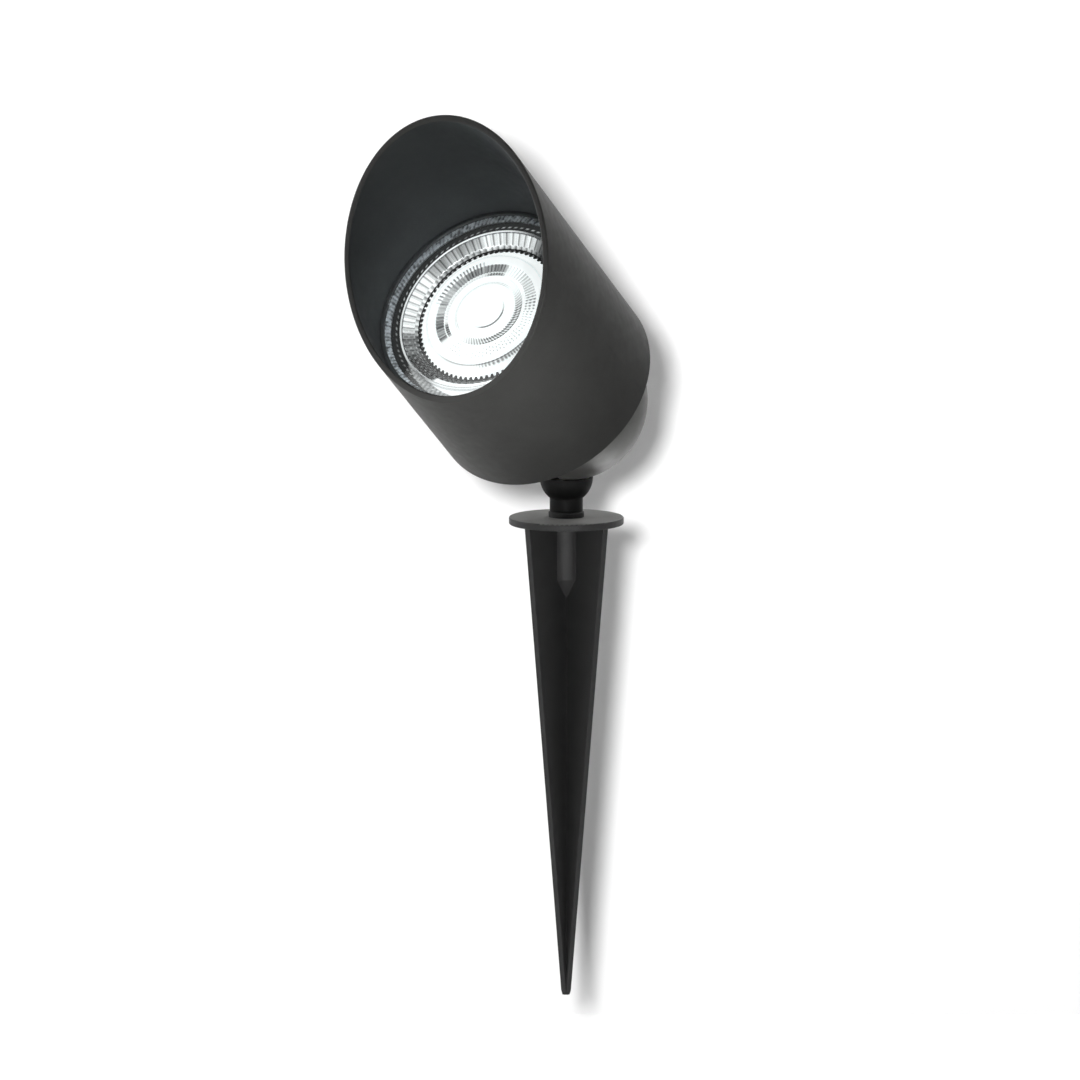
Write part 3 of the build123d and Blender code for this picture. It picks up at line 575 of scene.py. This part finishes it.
def lit_optic(name, light):
    """Clear moulded optic, lit from behind: it glows where its tone is high and is dark where the
    tone holds painted shade that follows the relief."""
    finish = Finish(name)
    level = finish.math("MULTIPLY", finish.tone(), finish.varied(0.5 * MM, 0.97, 1.03), clamp=True)
    body = finish.mix(level, (0.02, 0.022, 0.023), (0.30, 0.31, 0.31))
    glow = finish.mix(level, (0.006, 0.008, 0.009), light)
    others = {"Emission Color": glow, "Emission Strength": 0.93}
    return finish.surface(body, 0.25, others=others)


def finish_for_slot(colours):
    """Each material slot of the record, with the finish that its nodes get."""
    return {
        "spike_plastic": moulded_plastic("moulded spike", colours.spike, 0.30, colours.flange),
        "black_coated": powder_coat("powder coat", colours.coat, 0.20),
        "black_rubber": soft_rubber("seal rubber", colours.rubber),
        "liner_nylon": plain_moulding("natural nylon", (0.72, 0.70, 0.64), 0.45, 1.5 * MM),
        "bright_steel": bright_metal("zinc-plated steel", (0.60, 0.60, 0.61), (0.22, 0.38)),
        "brass": bright_metal("turned brass", (0.72, 0.52, 0.22), (0.2, 0.35)),
        "clear_glass": clear_glass("front glass"),
        "polished_trim": bright_metal("polished trim", (0.80, 0.81, 0.82), (0.10, 0.2), True),
        "speckled_gasket": speckled_rubber("speckled rubber", colours.gasket),
        "lamp_body": bright_metal("lamp shell", (0.70, 0.71, 0.72), (0.15, 0.3)),
        "mirror_facets": bright_metal("mirror facets", (0.86, 0.87, 0.88), (0.10, 0.2), True),
        "frosted_lens": lit_optic("lit optic", colours.light),
        "board": plain_moulding("solder mask", (0.85, 0.85, 0.82), 0.4, 1.0 * MM),
        "led": plain_moulding("phosphor", (0.90, 0.72, 0.20), 0.5, 0.5 * MM),
        "ceramic": plain_moulding("glazed ceramic", (0.85, 0.83, 0.76), 0.2, 2.0 * MM),
        "terminal_plastic": plain_moulding("terminal nylon", (0.80, 0.80, 0.76), 0.4, 1.5 * MM),
        "lead_sleeve": plain_moulding("silicone sleeve", (0.78, 0.76, 0.70), 0.55, 1.0 * MM),
        "gland_plastic": moulded_plastic("moulded gland", shade(colours.spike, 1.5), 0.30),
    }


# ---------------------------------------------------------------- operators
class StakeOperator:
    """What the operators share."""

    bl_options = {"REGISTER", "UNDO"}


class STAKE_OT_finishes(StakeOperator, bpy.types.Operator):
    """Give every carried CAD node the finish of its material slot"""

    bl_idname = "stake.finishes"
    bl_label = "Finish the carried pieces"

    def execute(self, context):
        colours = context.scene.stake_colours
        finishes = finish_for_slot(colours)
        for slot, material in finishes.items():
            context.scene["stake_finish_" + slot] = material.name
        for subpart in frame["record"]["subparts"]:
            node = frame["nodes"][subpart["node"]]
            node.data.materials.clear()
            node.data.materials.append(finishes[subpart["material_slot"]])
            lit_collection("stake_lit").objects.link(node)
        bore_and_lip = (colours.bore, colours.lip)
        for name, material in (
            ("hood_tube", powder_coat("hood coat", colours.coat, 0.09, bore_and_lip)),
            # The rear housing's paler coat is painted light.
            ("rear_housing", powder_coat("housing coat", colours.housing, 0.35)),
            # The retaining ring takes the bore's painted shade colour, 1.6 times paler, as painted
            # light from the lamp.
            ("retaining_ring", powder_coat("ring coat", shade(colours.bore, 1.6), 0.20)),
            ("swivel_stem", moulded_plastic("satin black stem", colours.stem, 0.08)),
        ):
            frame["nodes"][name].data.materials[0] = material
            lit_collection(name + "_lit").objects.link(frame["nodes"][name])
        return {"FINISHED"}


class STAKE_OT_gasket(StakeOperator, bpy.types.Operator):
    """Rough cord gasket under the edge of the front glass"""

    bl_idname = "stake.gasket"
    bl_label = "Glass gasket"

    def execute(self, context):
        """Rectangle with rounded corners, turned about the hood's line. Its front and inner faces
        are pushed back by a random skin with slanted strands, a cosine of the angle and radius.
        The front's high grains are pale, away from its edges; the pits, the other faces and the
        outer rim stay dark, as painted shade."""
        sizes = context.scene.stake_rings
        ring = HOOD.reach("glass_gasket")
        spacing = sizes.grain_size / 3
        radius, height = ring_outline(*ring, sizes.corner * 2, spacing)
        angles = even_angles(int(TAU * ring.inner / spacing))
        skin = grain(len(radius), len(angles), 2.6, 2.6, seed=7)
        skin += 1.1 * np.cos(sizes.strands * angles + (radius - ring.inner) / (0.4 * MM))
        front = step_between(height, ring.end - 0.4 * MM, ring.end)
        inside = 1 - step_between(radius, ring.inner, ring.inner + 0.4 * MM)
        highest = 1.8
        depth = sizes.grain * (np.clip(skin, -highest, highest) - highest) / highest
        clear_of_painted_rim_shade = step_between(ring.outer - radius, 0, 0.5 * MM)
        add_piece(
            "cord_gasket",
            turned(radius - inside * depth, height + front * depth, angles),
            "speckled_gasket",
            ["glass_gasket"],
            # Painted shade in the pits, off the front and at the outer rim.
            np.clip(0.6 + 0.32 * skin, 0, 1) * front * clear_of_painted_rim_shade,
        )
        return {"FINISHED"}


class STAKE_OT_trim_ring(StakeOperator, bpy.types.Operator):
    """Polished ring round the lamp with a row of raised dashes, and the lamp's rolled rim"""

    bl_idname = "stake.trim_ring"
    bl_label = "Trim ring and rim bead"

    def execute(self, context):
        """Rectangle with rounded corners, turned about the hood's line. The dashes are a bell in
        the radius times a sharpened cosine of the angle, slanted by the radius. Its tone paints
        highlights on the dashes and, on its lower side, a painted reflection of the lamp, with a
        slanted end and then a dim ribbed wedge."""
        sizes = context.scene.stake_rings
        ring = HOOD.reach("trim_ring")
        bore = HOOD.reach("lamp_shell").outer + 0.05 * MM
        top = ring.end - sizes.dash_height
        radius, height = ring_outline(bore, ring.outer, ring.start, top, sizes.corner, 0.14 * MM)
        angles = even_angles(sizes.dashes * 10)
        front = step_between(height, ring.start + 0.5 * MM, ring.end - 0.6 * MM)
        slant = (radius - sizes.dash_radius) / sizes.dash_radius * 1.2
        cut = step_between(np.cos(sizes.dashes * (angles + slant)), -0.1, 0.5)
        dash = front * cut * bump_at(radius, sizes.dash_radius, sizes.dash_width / 2)
        # Painted highlights on the dashes, uneven round the ring, and on the lower side a painted
        # reflection of the lamp, then a dim painted wedge.
        uneven = 0.32 + 0.22 * np.cos(7 * angles) * np.cos(11 * angles + 1)
        leaning = angles - radians(50) * (radius - bore) / (ring.outer - bore)
        painted_reflection = in_hours(leaning, *PAINTED_REFLECTION_HOURS)
        ribs = 0.85 + 0.3 * np.cos(120 * angles)
        wedge = 0.26 * ribs * in_hours(leaning, PAINTED_REFLECTION_HOURS[1], 7.5, 0.15) * (1 - painted_reflection)
        dull = 0.03
        add_piece(
            "dashed_trim_ring",
            turned(radius, height + sizes.dash_height * dash, angles),
            "polished_trim",
            ["trim_ring"],
            np.clip(dash * uneven + front * (dull + painted_reflection + wedge), 0, 1),
        )
        self.add_rim_bead(sizes)
        return {"FINISHED"}

    def add_rim_bead(self, sizes):
        """Circle turned about the hood's line, half sunk in the face of the lamp's rim. Its tone
        paints highlights at the bottom and from the lower left round to the top.
        """
        rim = HOOD.reach("lamp_shell")
        turn = even_angles(20)
        radius = rim.outer - 1.1 * sizes.bead + sizes.bead * np.cos(turn)
        height = rim.end - sizes.bead * 0.35 + sizes.bead * np.sin(turn)
        angles = even_angles(360)
        # Painted highlights, by clock hour.
        lit = np.clip(in_hours(angles, 4.4, 6.7) + in_hours(angles, 7.4, 12.2, 1.0), 0, 1)
        tone = (0.12 + 0.75 * lit) * np.ones((len(turn), 1))
        add_piece("rim_bead", turned(radius, height, angles), "polished_trim", tone=tone)


class STAKE_OT_reflector(StakeOperator, bpy.types.Operator):
    """Mirror facets round the lamp's optic"""

    bl_idname = "stake.reflector"
    bl_label = "Reflector facets"

    def execute(self, context):
        """Cone turned about the hood's line. Its front rises by |cos| of half the facet count
        times the angle, in two rows that are half a facet out of step. Its tone paints a glow over
        the upper left and leaves it dark below, with painted shade between the ribs and painted
        light on one side of each."""
        sizes = context.scene.stake_lamp
        ring = HOOD.reach("lamp_facet_ring")
        columns = sizes.facets * 14
        angles = even_angles(columns)
        share = np.linspace(0, 1, 36)[:, None]
        radius = ring.inner + (ring.outer - ring.inner) * share
        thickness = 0.8 * MM
        slope = ring.end - ring.start - thickness
        cone = ring.end - slope * (1 - share) - sizes.facet_rise
        blend = 0.05 * MM
        outer_row = step_between(radius, sizes.facet_step - blend, sizes.facet_step + blend)
        crown = np.abs(np.cos(sizes.facets / 2 * angles))
        other = np.abs(np.sin(sizes.facets / 2 * angles))
        belly = np.sin(pi * share) * 0.12 * MM
        rise = outer_row * crown + (1 - outer_row) * (other * 0.8 - 0.9)
        front = turned(radius, cone + belly + sizes.facet_rise * rise, angles)
        back_radius = np.array([ring.outer, ring.inner])
        back_height = np.array([ring.end - thickness, ring.start])
        number = np.floor(angles / TAU * sizes.facets).astype(int)
        own = np.random.default_rng(5).uniform(0.72, 1.12, sizes.facets)[number]
        # Painted shade in the valleys between ribs, and painted light on one side of each rib.
        rib = outer_row * step_between(crown, 0.12, 0.5) + (1 - outer_row) * other**2
        painted_side_light = 0.12 * np.sin(2 * sizes.facets * angles)
        tone = painted_reflector_light(angles, share) * own * (0.30 + 0.74 * rib + painted_side_light)
        # Painted reflection of the lamp along the facets' outer edge.
        edge = in_hours(angles, *PAINTED_REFLECTION_HOURS) * step_between(share, 0.6, 0.68)
        tone = np.clip(np.maximum(tone, edge), 0, 1)
        add_piece(
            "reflector_facets",
            np.concatenate([front, turned(back_radius, back_height, angles)]),
            "mirror_facets",
            ["lamp_facet_ring"],
            np.concatenate([tone, np.zeros((2, columns))]),
        )
        return {"FINISHED"}


def painted_reflector_light(angles, share):
    """Painted light on the facets, standing for the lamp's light they pass on, from their inner
    edge at 0 to their outer edge at 1: bright on the left and at the top, dim between, and dark
    below."""
    level = 0.01 + 0.22 * in_hours(angles, 7.6, 12.8)
    level = level + 0.85 * in_hours(angles, 8.35, 9.85, 0.4)
    level = level + 0.55 * in_hours(angles, 11.2, 12.6, 0.4) * step_between(share, 0.1, 0.3)
    level = level + 0.20 * in_hours(angles, 9.7, 11.3, 0.6) * (1 - share)
    mesh = np.cos(74 * angles) * np.cos(3 * TAU * share)
    return level + 0.26 * in_hours(angles, 4.6, 8.4, 0.6) * step_between(mesh, 0.4, 0.8)


def in_hours(angles, first, last, soft=0.5):
    """1 between two clock hours, seen from the front, and 0 outside, over `soft` hours."""
    middle = radians(90 - 30 * (first + last) / 2)
    half = radians(15 * (last - first))
    edge = radians(15 * soft)
    return 1 - step_between(apart(angles, middle), half - edge, half + edge)


def in_band(radius, inner, outer, soft=0.15 * MM):
    """1 between two radii and 0 outside, over `soft` at each."""
    rise = step_between(radius, inner - soft / 2, inner + soft / 2)
    return rise * (1 - step_between(radius, outer - soft / 2, outer + soft / 2))


def optic_relief(radius, angles, sizes):
    """Height over the optic's face, for each radius and angle: a spherical dome in the middle, a
    sunk cup round it, and a sunk band of cosine fins."""
    dome = sizes.dome_rise * np.clip(1 - (radius / sizes.dome_radius) ** 2, 0, None)
    cup = in_band(radius, sizes.cup_inner, sizes.cup_outer, 0.6 * MM)
    band = in_band(radius, sizes.fin_inner, sizes.fin_outer, 0.3 * MM)
    fins = 0.5 + 0.5 * np.cos(sizes.fins * angles)
    return dome - 0.5 * MM * cup - band * (0.6 - 0.3 * fins) * MM


def fin_shade(radius, angles, sizes):
    """How much the fins dim the optic: most over the upper left, where ticks stand outside them,
    faintly at the upper right, and as rows of dots over the lower right. Each fin is a cosine of
    the angle, with a random depth of its own."""
    wobble = 1.5 * np.sin(3 * angles) + 0.8 * np.sin(8 * angles + 1)
    fins = 0.5 + 0.5 * np.cos(sizes.fins * angles + wobble)
    number = np.floor(angles / TAU * sizes.fins).astype(int)
    own = np.random.default_rng(6).uniform(0, 1, sizes.fins)[number]
    streaks = 0.4 * own + 0.3 + 0.3 * np.cos(23 * angles + 2) * np.cos(37 * angles)
    inner, outer = sizes.fin_inner, sizes.fin_outer
    waist = inner + (outer - inner) * 0.36
    outer_row = in_band(radius, waist, outer)
    inner_row = in_band(radius, inner, waist - 0.25 * MM)
    pale = in_hours(angles, 8.7, 10.2, 0.8)
    dark = in_hours(angles, 7.45, 12.25, 0.3)
    strength = 1.0 - 0.40 * pale * (0.4 + 0.6 * streaks)
    ends = in_hours(angles, 7.3, 8.2, 0.3) + in_hours(angles, 11.4, 12.3, 0.4)
    ticks = in_hours(angles, 9.2, 11.3, 0.4) * in_band(radius, outer, outer + 1.2 * MM)
    faint = in_hours(angles, 12.4, 14.6, 0.9) * in_band(radius, waist - 0.8 * MM, outer)
    dots = in_hours(angles, 14.2, 19.2, 1.0) * in_band(radius, inner + 0.2 * MM, outer)
    rows = 0.5 + 0.5 * np.cos((radius - inner) / (outer - inner) * 3 * TAU + 9 * own)
    result = dark * outer_row * strength * (0.84 + 0.22 * fins - 0.32 * streaks)
    result += dark * inner_row * (0.30 + 0.70 * np.clip(ends, 0, 1)) * (0.6 + 0.4 * fins)
    result += 0.95 * ticks * fins**2
    result += 0.50 * faint * fins**1.5
    return result + 0.75 * dots * fins**2 * rows


def cup_shade(radius, angles, sizes):
    """How much the cup and the dome's edge dim the optic. The cup is hatched over the lower right,
    with thin lines round its inner edge. The dome's edge is a dark arc at the lower right."""
    inner, outer = sizes.cup_inner, sizes.cup_outer
    hatch = 0.5 + 0.5 * np.cos(72 * angles - (radius - inner) / (0.25 * MM))
    cup = in_hours(angles, 13.8, 18.6, 1.6) * in_band(radius, inner, outer)
    rows = bump_at(radius, outer - 0.3 * MM, 0.24 * MM)
    rows = rows + 0.9 * bump_at(radius, inner + 0.5 * MM, 0.22 * MM)
    lines = bump_at(radius, inner, 0.16 * MM)
    lines = lines + 0.7 * bump_at(radius, inner + 0.5 * MM, 0.13 * MM)
    arc = bump_at(radius, sizes.dome_radius, 0.21 * MM)
    result = cup * (0.22 + 0.55 * hatch)
    result += 1.9 * in_hours(angles, 14.8, 17.4, 1.0) * rows * (0.15 + hatch)
    result += 0.50 * in_hours(angles, 7.4, 12.9, 0.8) * lines
    result += 0.10 * bump_at(radius, outer, 0.15 * MM)
    around = 0.5 * in_hours(angles, 14, 18.5, 1) + 1.2 * in_hours(angles, 15, 17.8, 1)
    return result + arc * around


def edge_shade(radius, angles, face_radius):
    """How much the face's edge dims the optic: a thin line, with broken rows at the lower right."""
    edge = bump_at(radius, face_radius - 0.25 * MM, 0.25 * MM)
    rows = edge + bump_at(radius, face_radius + 0.4 * MM, 0.28 * MM)
    broken = 0.5 + 0.5 * np.cos(110 * angles + 3 * np.sin(9 * angles))
    result = edge * (0.5 * in_hours(angles, 15.2, 18.9, 0.8) + 0.2)
    return result + 1.2 * in_hours(angles, 15.2, 17.5, 0.8) * rows * (0.2 + 0.8 * broken)


def optic_tone(radius, angles, sizes, face_radius):
    """How brightly the optic glows: 1 on plain faces, and less where painted shade follows the
    relief."""
    dim = fin_shade(radius, angles, sizes) + cup_shade(radius, angles, sizes)
    return np.clip(1 - dim - edge_shade(radius, angles, face_radius), 0.03, 1)


class STAKE_OT_optic(StakeOperator, bpy.types.Operator):
    """Lit optic in the lamp's face, and the black toothed ring that grips it"""

    bl_idname = "stake.optic"
    bl_label = "Optic and its grip ring"

    def execute(self, context):
        """The face is a disc whose height is the relief. A cone down to the skirt under the
        teeth, a wall and a cone back to the light source close the solid."""
        sizes = context.scene.stake_lamp
        lens = HOOD.reach("lamp_lens")
        points = HOOD.local(node_points("lamp_lens"))
        on_face = points[points[:, 2] > lens.end - 0.01 * MM]
        face_radius = np.hypot(on_face[:, 0], on_face[:, 1]).max()
        on_edge = np.hypot(points[:, 0], points[:, 1]) > lens.outer - 0.01 * MM
        shoulder = points[on_edge, 2].max()
        columns = sizes.fins * 8
        angles = even_angles(columns)
        share = np.concatenate([np.linspace(0, 1, 120), np.linspace(1, 2, 9)[1:]])[:, None]
        on_side = np.clip(share - 1, 0, 1)
        skirt = lens.outer + 0.8 * MM
        radius = face_radius * np.clip(share, 0, 1) + (skirt - face_radius) * on_side
        top = lens.end - sizes.dome_rise
        relief = optic_relief(radius, angles, sizes) * (share <= 1)
        face = turned(radius, top + relief - (top - shoulder) * on_side, angles)
        neck = lens.outer / 3
        base = points[on_edge, 2].min()
        back_radius = np.array([skirt, neck, neck, 0.0])
        back_height = np.array([base, lens.start + 2 * MM, lens.start, lens.start])
        # Painted shade over the optic's glow, by relief and clock hour.
        tone = optic_tone(radius, angles, sizes, face_radius)
        add_piece(
            "lit_optic",
            np.concatenate([face, turned(back_radius, back_height, angles)]),
            "frosted_lens",
            ["lamp_lens"],
            np.concatenate([tone, np.ones((len(back_radius), columns))]),
            closed_rows=False,
        )
        self.add_grip_ring(sizes, lens.outer, shoulder)
        return {"FINISHED"}

    def add_grip_ring(self, sizes, lens_radius, shoulder):
        """Rounded rectangle turned about the hood's line, whose bore moves in and out as a
        sharpened cosine of the tooth count times the angle."""
        bore, rim = lens_radius + 0.70 * MM, lens_radius + 1.15 * MM
        low, high = shoulder - 0.4 * MM, shoulder + 0.95 * MM
        radius, height = ring_outline(bore, rim, low, high, 0.15 * MM, 0.12 * MM)
        angles = even_angles(sizes.teeth * 14)
        tooth = step_between(np.cos(sizes.teeth * angles), -0.3, 0.6)
        inner = 1 - step_between(radius, bore, bore + 0.5 * MM)
        points = turned(radius - inner * tooth * sizes.tooth_depth, height, angles)
        add_piece("optic_grip_ring", points, "black_rubber")


class STAKE_OT_gland_cap(StakeOperator, bpy.types.Operator):
    """Grip flutes on the cable gland's cap"""

    bl_idname = "stake.gland_cap"
    bl_label = "Gland cap"

    def execute(self, context):
        """Stepped outline turned about the gland's line. The outer wall moves in by a sharpened
        cosine, which makes the flutes."""
        cap = GLAND.reach("gland_cap")
        neck = cap.outer * 0.8
        shoulder = cap.end - 2.2 * MM
        corners = [
            (cap.outer, cap.start),
            (cap.outer, cap.end),
            (cap.inner, cap.end),
            (cap.inner, shoulder),
            (neck, shoulder),
            (neck, cap.start),
        ]
        outline = resampled(rounded(corners, 0.5 * MM), 0.22 * MM)
        flutes = 18
        angles = even_angles(flutes * 16)
        radius, height = outline[:, :1], outline[:, 1:]
        outside = step_between(radius, cap.outer - 0.3 * MM, cap.outer)
        along = step_between(height, cap.start + 0.4 * MM, cap.start + 1.2 * MM)
        along = along * (1 - step_between(height, cap.end - 2.6 * MM, cap.end - 1.4 * MM))
        flute = step_between(np.cos(flutes * angles), -0.2, 0.8)
        points = turned(radius - outside * along * flute * 0.45 * MM, height, angles)
        add_piece("fluted_gland_cap", points, "gland_plastic", ["gland_cap"], line=GLAND)
        return {"FINISHED"}


# ---------------------------------------------------------------- studio
def stage_plane(name, corners, finish, lit_by):
    """Flat sheet of the stage, from four corners, in the collection that its lamp lights."""
    mesh = bpy.data.meshes.new(name)
    mesh.from_pydata([tuple(corner) for corner in corners], [], [(0, 1, 2, 3)])
    plane = bpy.data.objects.new(name, mesh)
    bpy.context.scene.collection.objects.link(plane)
    mesh.materials.append(finish)
    lit_collection(lit_by).objects.link(plane)


def pale_stage(name):
    """Pale matt sheet. The camera, mirrors and glass see it white, with its shadows, and as a
    source of light for the object it is a mid grey. Far from the object, where its lamp fades, it
    glows white to the camera. It is clear from behind."""
    finish = Finish(name)
    path = finish.add("ShaderNodeLightPath").outputs
    seen = finish.math("MAXIMUM", path["Is Camera Ray"], path["Is Glossy Ray"])
    seen = finish.math("MAXIMUM", seen, path["Is Transmission Ray"])
    cloudy = finish.varied(0.4, 0.98, 1.0, 2.0)
    pale = finish.math("MULTIPLY", cloudy, finish.between(seen, 0.0, 1.0, 0.2, 0.8))
    colour_now = finish.mix(pale, (0.0, 0.0, 0.0), (1.0, 1.0, 1.0))
    sheet = finish.add("ShaderNodeBsdfDiffuse", {"Color": colour_now}).outputs[0]
    distance = finish.vector("LENGTH", finish.place, output="Value")
    far = finish.between(distance, 0.3, 1.3, 0.04, 1.0)
    near_glow = finish.math("MULTIPLY", seen, 0.04)
    far_glow = finish.math("MULTIPLY", path["Is Camera Ray"], far)
    glow = finish.math("MAXIMUM", near_glow, far_glow)
    lift = finish.add("ShaderNodeEmission", {"Strength": glow})
    result = finish.add("ShaderNodeAddShader", {0: sheet, 1: lift.outputs[0]}).outputs[0]
    behind = finish.add("ShaderNodeNewGeometry").outputs["Backfacing"]
    clear = finish.add("ShaderNodeBsdfTransparent").outputs[0]
    finish.show(finish.add("ShaderNodeMixShader", {0: behind, 1: result, 2: clear}).outputs[0])
    return finish.material


def place_towards(name, data, place, aim):
    """Camera or lamp at a place, turned towards a point."""
    thing = bpy.data.objects.new(name, data)
    thing.location = place
    thing.rotation_euler = (Vector(aim) - Vector(place)).to_track_quat("-Z", "Y").to_euler()
    bpy.context.scene.collection.objects.link(thing)
    return thing


def add_lamp(name, kind, place, aim, energy, lights, **settings):
    """Lamp at a place that shines towards a point. It lights one collection alone, and what lights
    the object isn't blocked by the stage."""
    data = bpy.data.lights.new(name, kind)
    data.energy = energy
    for setting, value in settings.items():
        setattr(data, setting, value)
    lamp = place_towards(name, data, place, aim)
    lamp.light_linking.receiver_collection = lit_collection(lights)
    lamp.light_linking.blocker_collection = lit_collection("stake_lit")


class STAKE_OT_stage(StakeOperator, bpy.types.Operator):
    """Plain pale floor and backdrop, soft lamps and the camera"""

    bl_idname = "stake.stage"
    bl_label = "Studio"

    def execute(self, context):
        studio = context.scene.stake_studio
        toward = np.array([sin(studio.azimuth), -cos(studio.azimuth), 0.0])
        right = np.array([cos(studio.azimuth), sin(studio.azimuth), 0.0])
        up = np.array([0.0, 0.0, 1.0])
        aim = -right * studio.aim_left - up * studio.aim_drop
        camera_way = toward * cos(studio.elevation) + up * sin(studio.elevation)
        self.add_camera(context, aim, aim + camera_way * studio.distance, studio.lens)
        self.add_world(context, camera_way, studio.world)
        floor_level = min(corner[2] for corner in CAD_BOX) - studio.floor_drop
        self.add_sheets(toward, right, up * floor_level - toward * studio.backdrop_gap)
        self.add_lamps(studio, toward, right, up, aim, camera_way)
        context.scene.view_settings.view_transform = "Standard"
        return {"FINISHED"}

    def add_camera(self, context, aim, place, lens):
        data = bpy.data.cameras.new("camera")
        data.lens = lens
        data.clip_end = 20.0
        context.scene.camera = place_towards("camera", data, place, aim)

    def add_world(self, context, toward, level):
        """White world: full white to the camera and through glass, dimmer at the camera's side for
        mirrors, as an unlit end of a room, and softer as light."""
        world = bpy.data.worlds.new("studio")
        maker = NodeMaker(world)
        path = maker.add("ShaderNodeLightPath").outputs
        sky = maker.add("ShaderNodeTexCoord").outputs["Generated"]
        dimmed = maker.between(maker.dot(sky, toward), 0.25, 0.95, 1.0, 0.3)
        shown = maker.math("MAXIMUM", path["Is Camera Ray"], path["Is Transmission Ray"])
        inputs = {0: path["Is Glossy Ray"], 2: level, 3: dimmed}
        soft = maker.add("ShaderNodeMix", inputs).outputs[0]
        strength = maker.add("ShaderNodeMix", {0: shown, 2: soft, 3: 1.0}).outputs[0]
        inputs = {"Color": (1.0, 1.0, 1.0), "Strength": strength}
        background = maker.add("ShaderNodeBackground", inputs).outputs[0]
        maker.add("ShaderNodeOutputWorld", {"Surface": background})
        context.scene.world = world

    def add_sheets(self, toward, right, foot):
        """Backdrop that rises from its foot, and a floor that runs past it both ways."""
        half_width, tall, half_floor = 3.0, 3.0, 12.0
        for name, low, side, rise in (
            ("backdrop", foot, right * half_width, np.array([0.0, 0.0, tall])),
            ("floor", foot + toward * half_floor, right * half_floor, -toward * 2 * half_floor),
        ):
            corners = [low - side, low + side, low + side + rise, low - side + rise]
            stage_plane(name, corners, pale_stage(name + " sheet"), name + "_lit")

    def add_lamps(self, studio, toward, right, up, aim, camera_way):
        """Lamps for the sheets, near the camera, and soft lamps for the object, placed from the
        aim point: to the right, up and towards the camera."""

        def at(sideways, upwards, forwards):
            return aim + right * sideways + up * upwards + toward * forwards

        shadow_place = aim + camera_way * studio.distance - right * 0.09 + up * 0.065
        for name, energy, lights in (
            ("backdrop lamp", 190.0, "backdrop_lit"),
            ("floor lamp", 815.0, "floor_lit"),
        ):
            add_lamp(name, "POINT", shadow_place, aim, energy, lights, shadow_soft_size=0.055)
        hood_front = HOOD.outward(np.array([0.018, -0.030, 0.064]))
        spot = {"shadow_soft_size": 0.012, "spot_size": radians(2.5), "spot_blend": 1.0}
        place = at(0.2, 0.1, 1.75)
        add_lamp("hood front light", "SPOT", place, hood_front, 145.0, "stake_lit", **spot)
        for name, place, energy, lights in (
            ("left softbox", at(-1.2, 0.4, -0.1), 5.0, "stake_lit"),
            ("left rim light", at(-1.1, -0.1, -0.5), 24.0, "hood_tube_lit"),
            ("right rim light", at(0.8, 0.7, -1.2), 4.0, "stake_lit"),
            ("housing light", at(0.35, -1.0, -0.5), 13.0, "rear_housing_lit"),
        ):
            add_lamp(name, "AREA", place, aim, energy, lights, shape="DISK", size=0.6)


# ---------------------------------------------------------------- add-on
GROUPS = {
    "stake_rings": StakeRingSizes,
    "stake_lamp": StakeLampSizes,
    "stake_colours": StakeColours,
    "stake_studio": StakeStudio,
}
OPERATORS = (
    STAKE_OT_finishes,
    STAKE_OT_gasket,
    STAKE_OT_trim_ring,
    STAKE_OT_reflector,
    STAKE_OT_optic,
    STAKE_OT_gland_cap,
    STAKE_OT_stage,
)


class STAKE_PT_panel(bpy.types.Panel):
    """Sizes, colours and makers of the light projector stake"""

    bl_idname = "STAKE_PT_panel"
    bl_label = "Light projector stake"
    bl_space_type = "VIEW_3D"
    bl_region_type = "UI"
    bl_category = "Stake"

    def draw(self, context):
        for group, kind in GROUPS.items():
            box = self.layout.box()
            for name in kind.__annotations__:
                box.prop(getattr(context.scene, group), name)
        for operator in OPERATORS:
            self.layout.operator(operator.bl_idname)


CLASSES = (*GROUPS.values(), *OPERATORS, STAKE_PT_panel)


def register():
    for kind in CLASSES:
        bpy.utils.register_class(kind)
    for group, kind in GROUPS.items():
        setattr(bpy.types.Scene, group, PointerProperty(type=kind))


def unregister():
    for group in GROUPS:
        delattr(bpy.types.Scene, group)
    for kind in reversed(CLASSES):
        bpy.utils.unregister_class(kind)


def main():
    register()
    bpy.ops.stake.stage()
    bpy.ops.stake.finishes()
    bpy.ops.stake.gasket()
    bpy.ops.stake.trim_ring()
    bpy.ops.stake.reflector()
    bpy.ops.stake.optic()
    bpy.ops.stake.gland_cap()


if __name__ == "__main__":
    main()
